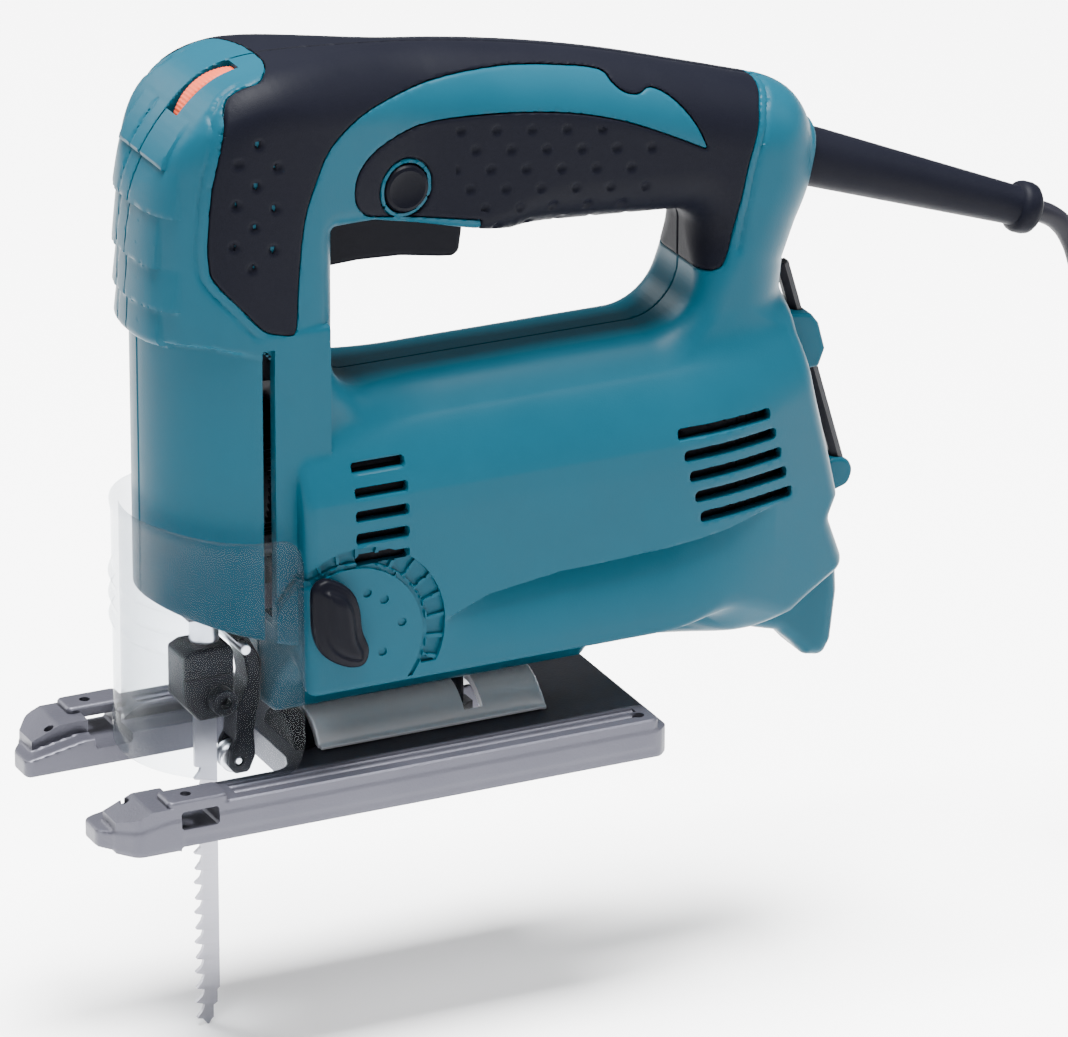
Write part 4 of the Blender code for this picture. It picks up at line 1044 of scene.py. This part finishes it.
def make_clamp_and_arm():
    outline = Outline(rounded([(-45, 37.5, 1), (-42, 39, 1), (-32, 39, 1), (-31, 37, 1), (-31, 21, 1),
                               (-33, 19, 1), (-41, 19, 1.5), (-45, 24, 1.5)]), (-48, 16), (-28, 42),
                      0.25)

    def clamp(x, y, z):
        block = slab(outline(x, z), y, -6, 6, 1.0)
        block = carve(block, box_distance(x, y, z, (-41, -1, 10), (-33, 1, 33)))
        seat = both(disc(x, z, CLAMP_SCREW, 2.2), y + 0.5)
        groove = both(np.abs(z - 31.5) - 0.5, 5.4 - np.abs(y))
        return carve(block, either(seat, groove))
    solid("clamp_body", clamp, (-46, -7, 18), (-30, 7, 40), 0.4, "dark_steel", "plunger",
          ("blade_clamp",))

    def bolt(x, y, z):
        head = slab(disc(x, z, CLAMP_SCREW, 3.6), y, -10.5, -6.3, 0.5)
        shank = slab(disc(x, z, CLAMP_SCREW, 1.8), y, -6.6, -1.4, 0.2)
        u, v = np.abs(x - CLAMP_SCREW[0]), np.abs(z - CLAMP_SCREW[1])
        socket = both(both(u * 0.866 + v * 0.5, v) - 1.5, y + 7.8)
        return carve(either(head, shank), socket)
    solid("clamp_bolt_body", bolt, (-40, -11.5, 20.5), (-31, -0.5, 29.5), 0.3, "dark_steel",
          "plunger", ("clamp_bolt",))

    def plunger(x, y, z):
        rod = slab(disc(x, y, (-37, 0), 3.9), z, 39.3, 130, 0.5)
        yoke = box_distance(x, y, z, (-35, -16.5, 76.1), (-28, 16.5, 95.1), 0.8)
        slot = box_distance(x, y, z, (-33, -13.2, 80.0), (-20, 13.2, 91.2), 0.3)
        return carve(either(rod, yoke), slot)
    solid("plunger_body", plunger, (-42, -17.5, 38), (-27, 17.5, 131), 0.55, "bright_steel",
          "plunger", ("plunger",))

    arm_shape = Outline(rounded([
        (-30.5, 40, 1.5), (-26.5, 40, 1.5), (-22.8, 33, 5), (-23.2, 22, 6), (-25, 13, 6),
        (-24.6, 6, 3), (-26.5, 1.6, 1.5), (-30.5, 1.6, 1.5), (-32.2, 4, 1.5), (-31.6, 8.6, 2),
        (-30.2, 11, 2), (-29.6, 20, 5), (-26.4, 27, 5), (-27.4, 33.5, 3)]), (-36, -2), (-19, 43),
        0.25)

    def arm(x, y, z):
        body = slab(arm_shape(x, z), y, -4.6, 4.6, 0.7)
        body = carve(body, disc(x, z, ARM_PIVOT, 1.7))
        body = carve(body, disc(x, z, ROLLER, 1.3))
        return carve(body, box_distance(x, y, z, (-34, -2.6, 0), (-22, 2.6, 10.6)))
    solid("roller_arm_body", arm, (-33.5, -5.5, 0.5), (-21.5, 5.5, 41.5), 0.4, "dark_steel",
          "roller_arm", ("roller_arm",))
    turned("guide_roller_body", [(1.4, 0), (3.8, 0), (4.1, 0.3), (4.1, 1.2), (3.5, 1.7), (3.5, 2.7),
                                 (4.1, 3.2), (4.1, 4.1), (3.8, 4.4), (1.4, 4.4), (1.4, 0)],
           (ROLLER[0], -2.2, ROLLER[1]), (0, 1, 0), 40, "bright_steel", "guide_roller",
           ("guide_roller",))
    for name, body, at, radius, half in (("roller_arm_pin", "housing", ARM_PIVOT, 1.4, 7.5),
                                         ("roller_axle", "roller_arm", ROLLER, 1.0, 4.4)):
        turned(name + "_body", [(0, 0), (radius - 0.2, 0), (radius, 0.2), (radius, 2 * half - 0.2),
                                (radius - 0.2, 2 * half), (0, 2 * half)],
               (at[0], -half, at[1]), (0, 1, 0), 24, "bright_steel", body, (name,))


def make_screws():
    def lobes(angle, radius, along):
        return 0.22 * cos(6 * angle) * (radius < 1.4) * (along > 15)
    for number, (x, z, seat) in enumerate(SCREWS, 1):
        top = seat + 2.2
        turned("screw_%d" % number,
               [(0, -8), (1.1, -8), (1.5, -7), (1.5, seat), (1.5, seat + 0.3), (2.7, seat + 0.3),
                (2.9, seat + 0.6), (2.8, top - 0.6), (2.4, top - 0.2), (1.9, top), (1.35, top),
                (1.3, top - 0.2), (1.2, top - 1.3), (0, top - 1.4)],
               (x, 0, z), (0, 1, 0), 48, "bright_steel", "housing", ("housing_screw_%d" % number,),
               lobes if seat > 15 else None)


# ---- light and floor ----

def make_stage():
    floor = bpy.data.meshes.new("floor")
    z, size = -70.5 * MM, 6.0
    floor.from_pydata([(-size, -size, z), (size, -size, z), (size, size, z), (-size, size, z)], [],
                      [(0, 1, 2, 3)])
    obj = bpy.data.objects.new("floor", floor)
    bpy.context.scene.collection.objects.link(obj)
    paper = bpy.data.materials.new("paper")
    paper.use_nodes = True
    shader = paper.node_tree.nodes["Principled BSDF"]
    shader.inputs["Base Color"].default_value = (0.97, 0.97, 0.97, 1)
    shader.inputs["Roughness"].default_value = 0.85
    floor.materials.append(paper)
    world = bpy.data.worlds.new("studio")
    world.use_nodes = True
    world.node_tree.nodes["Background"].inputs["Color"].default_value = (1, 1, 1, 1)
    world.node_tree.nodes["Background"].inputs["Strength"].default_value = 0.36
    bpy.context.scene.world = world
    for name, place, size, power in (
            ("top", (0.1, 0.0, 2.6), 1.5, 600), ("key", (-1.3, -1.5, 2.2), 0.9, 36),
            ("back", (-0.9, 1.9, 1.2), 0.9, 40), ("side", (1.9, -0.5, 1.3), 0.9, 16)):
        light = bpy.data.lights.new(name, "AREA")
        light.shape = "SQUARE"
        light.size = size
        light.energy = power
        lamp = bpy.data.objects.new(name, light)
        lamp.location = place
        lamp.rotation_euler = (Vector(place) - Vector((0.05, 0, 0.08))).to_track_quat("Z", "Y").to_euler()
        bpy.context.scene.collection.objects.link(lamp)


def dress_frame(frame):
    """Gives the CAD nodes that stay in view the finish of their slot."""
    for row in frame["record"]["subparts"]:
        obj = bpy.data.objects.get(row["node"])
        if obj and obj.type == "MESH":
            for place in obj.material_slots:
                place.material = LOOKS[row["material_slot"]]


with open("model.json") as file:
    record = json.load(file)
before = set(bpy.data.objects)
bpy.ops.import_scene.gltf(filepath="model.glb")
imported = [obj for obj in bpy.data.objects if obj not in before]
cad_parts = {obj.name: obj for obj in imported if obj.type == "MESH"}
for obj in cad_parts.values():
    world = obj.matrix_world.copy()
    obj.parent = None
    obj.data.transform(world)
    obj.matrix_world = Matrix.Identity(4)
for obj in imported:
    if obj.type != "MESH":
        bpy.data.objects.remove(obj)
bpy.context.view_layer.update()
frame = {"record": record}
make_looks()
make_camera()
make_cord()
dress_frame(frame)
make_housing()
make_vent_shade_sheets()
make_key_parts()
make_controls()
make_cover()
make_base()
make_blade()
make_clamp_and_arm()
make_screws()
make_stage()
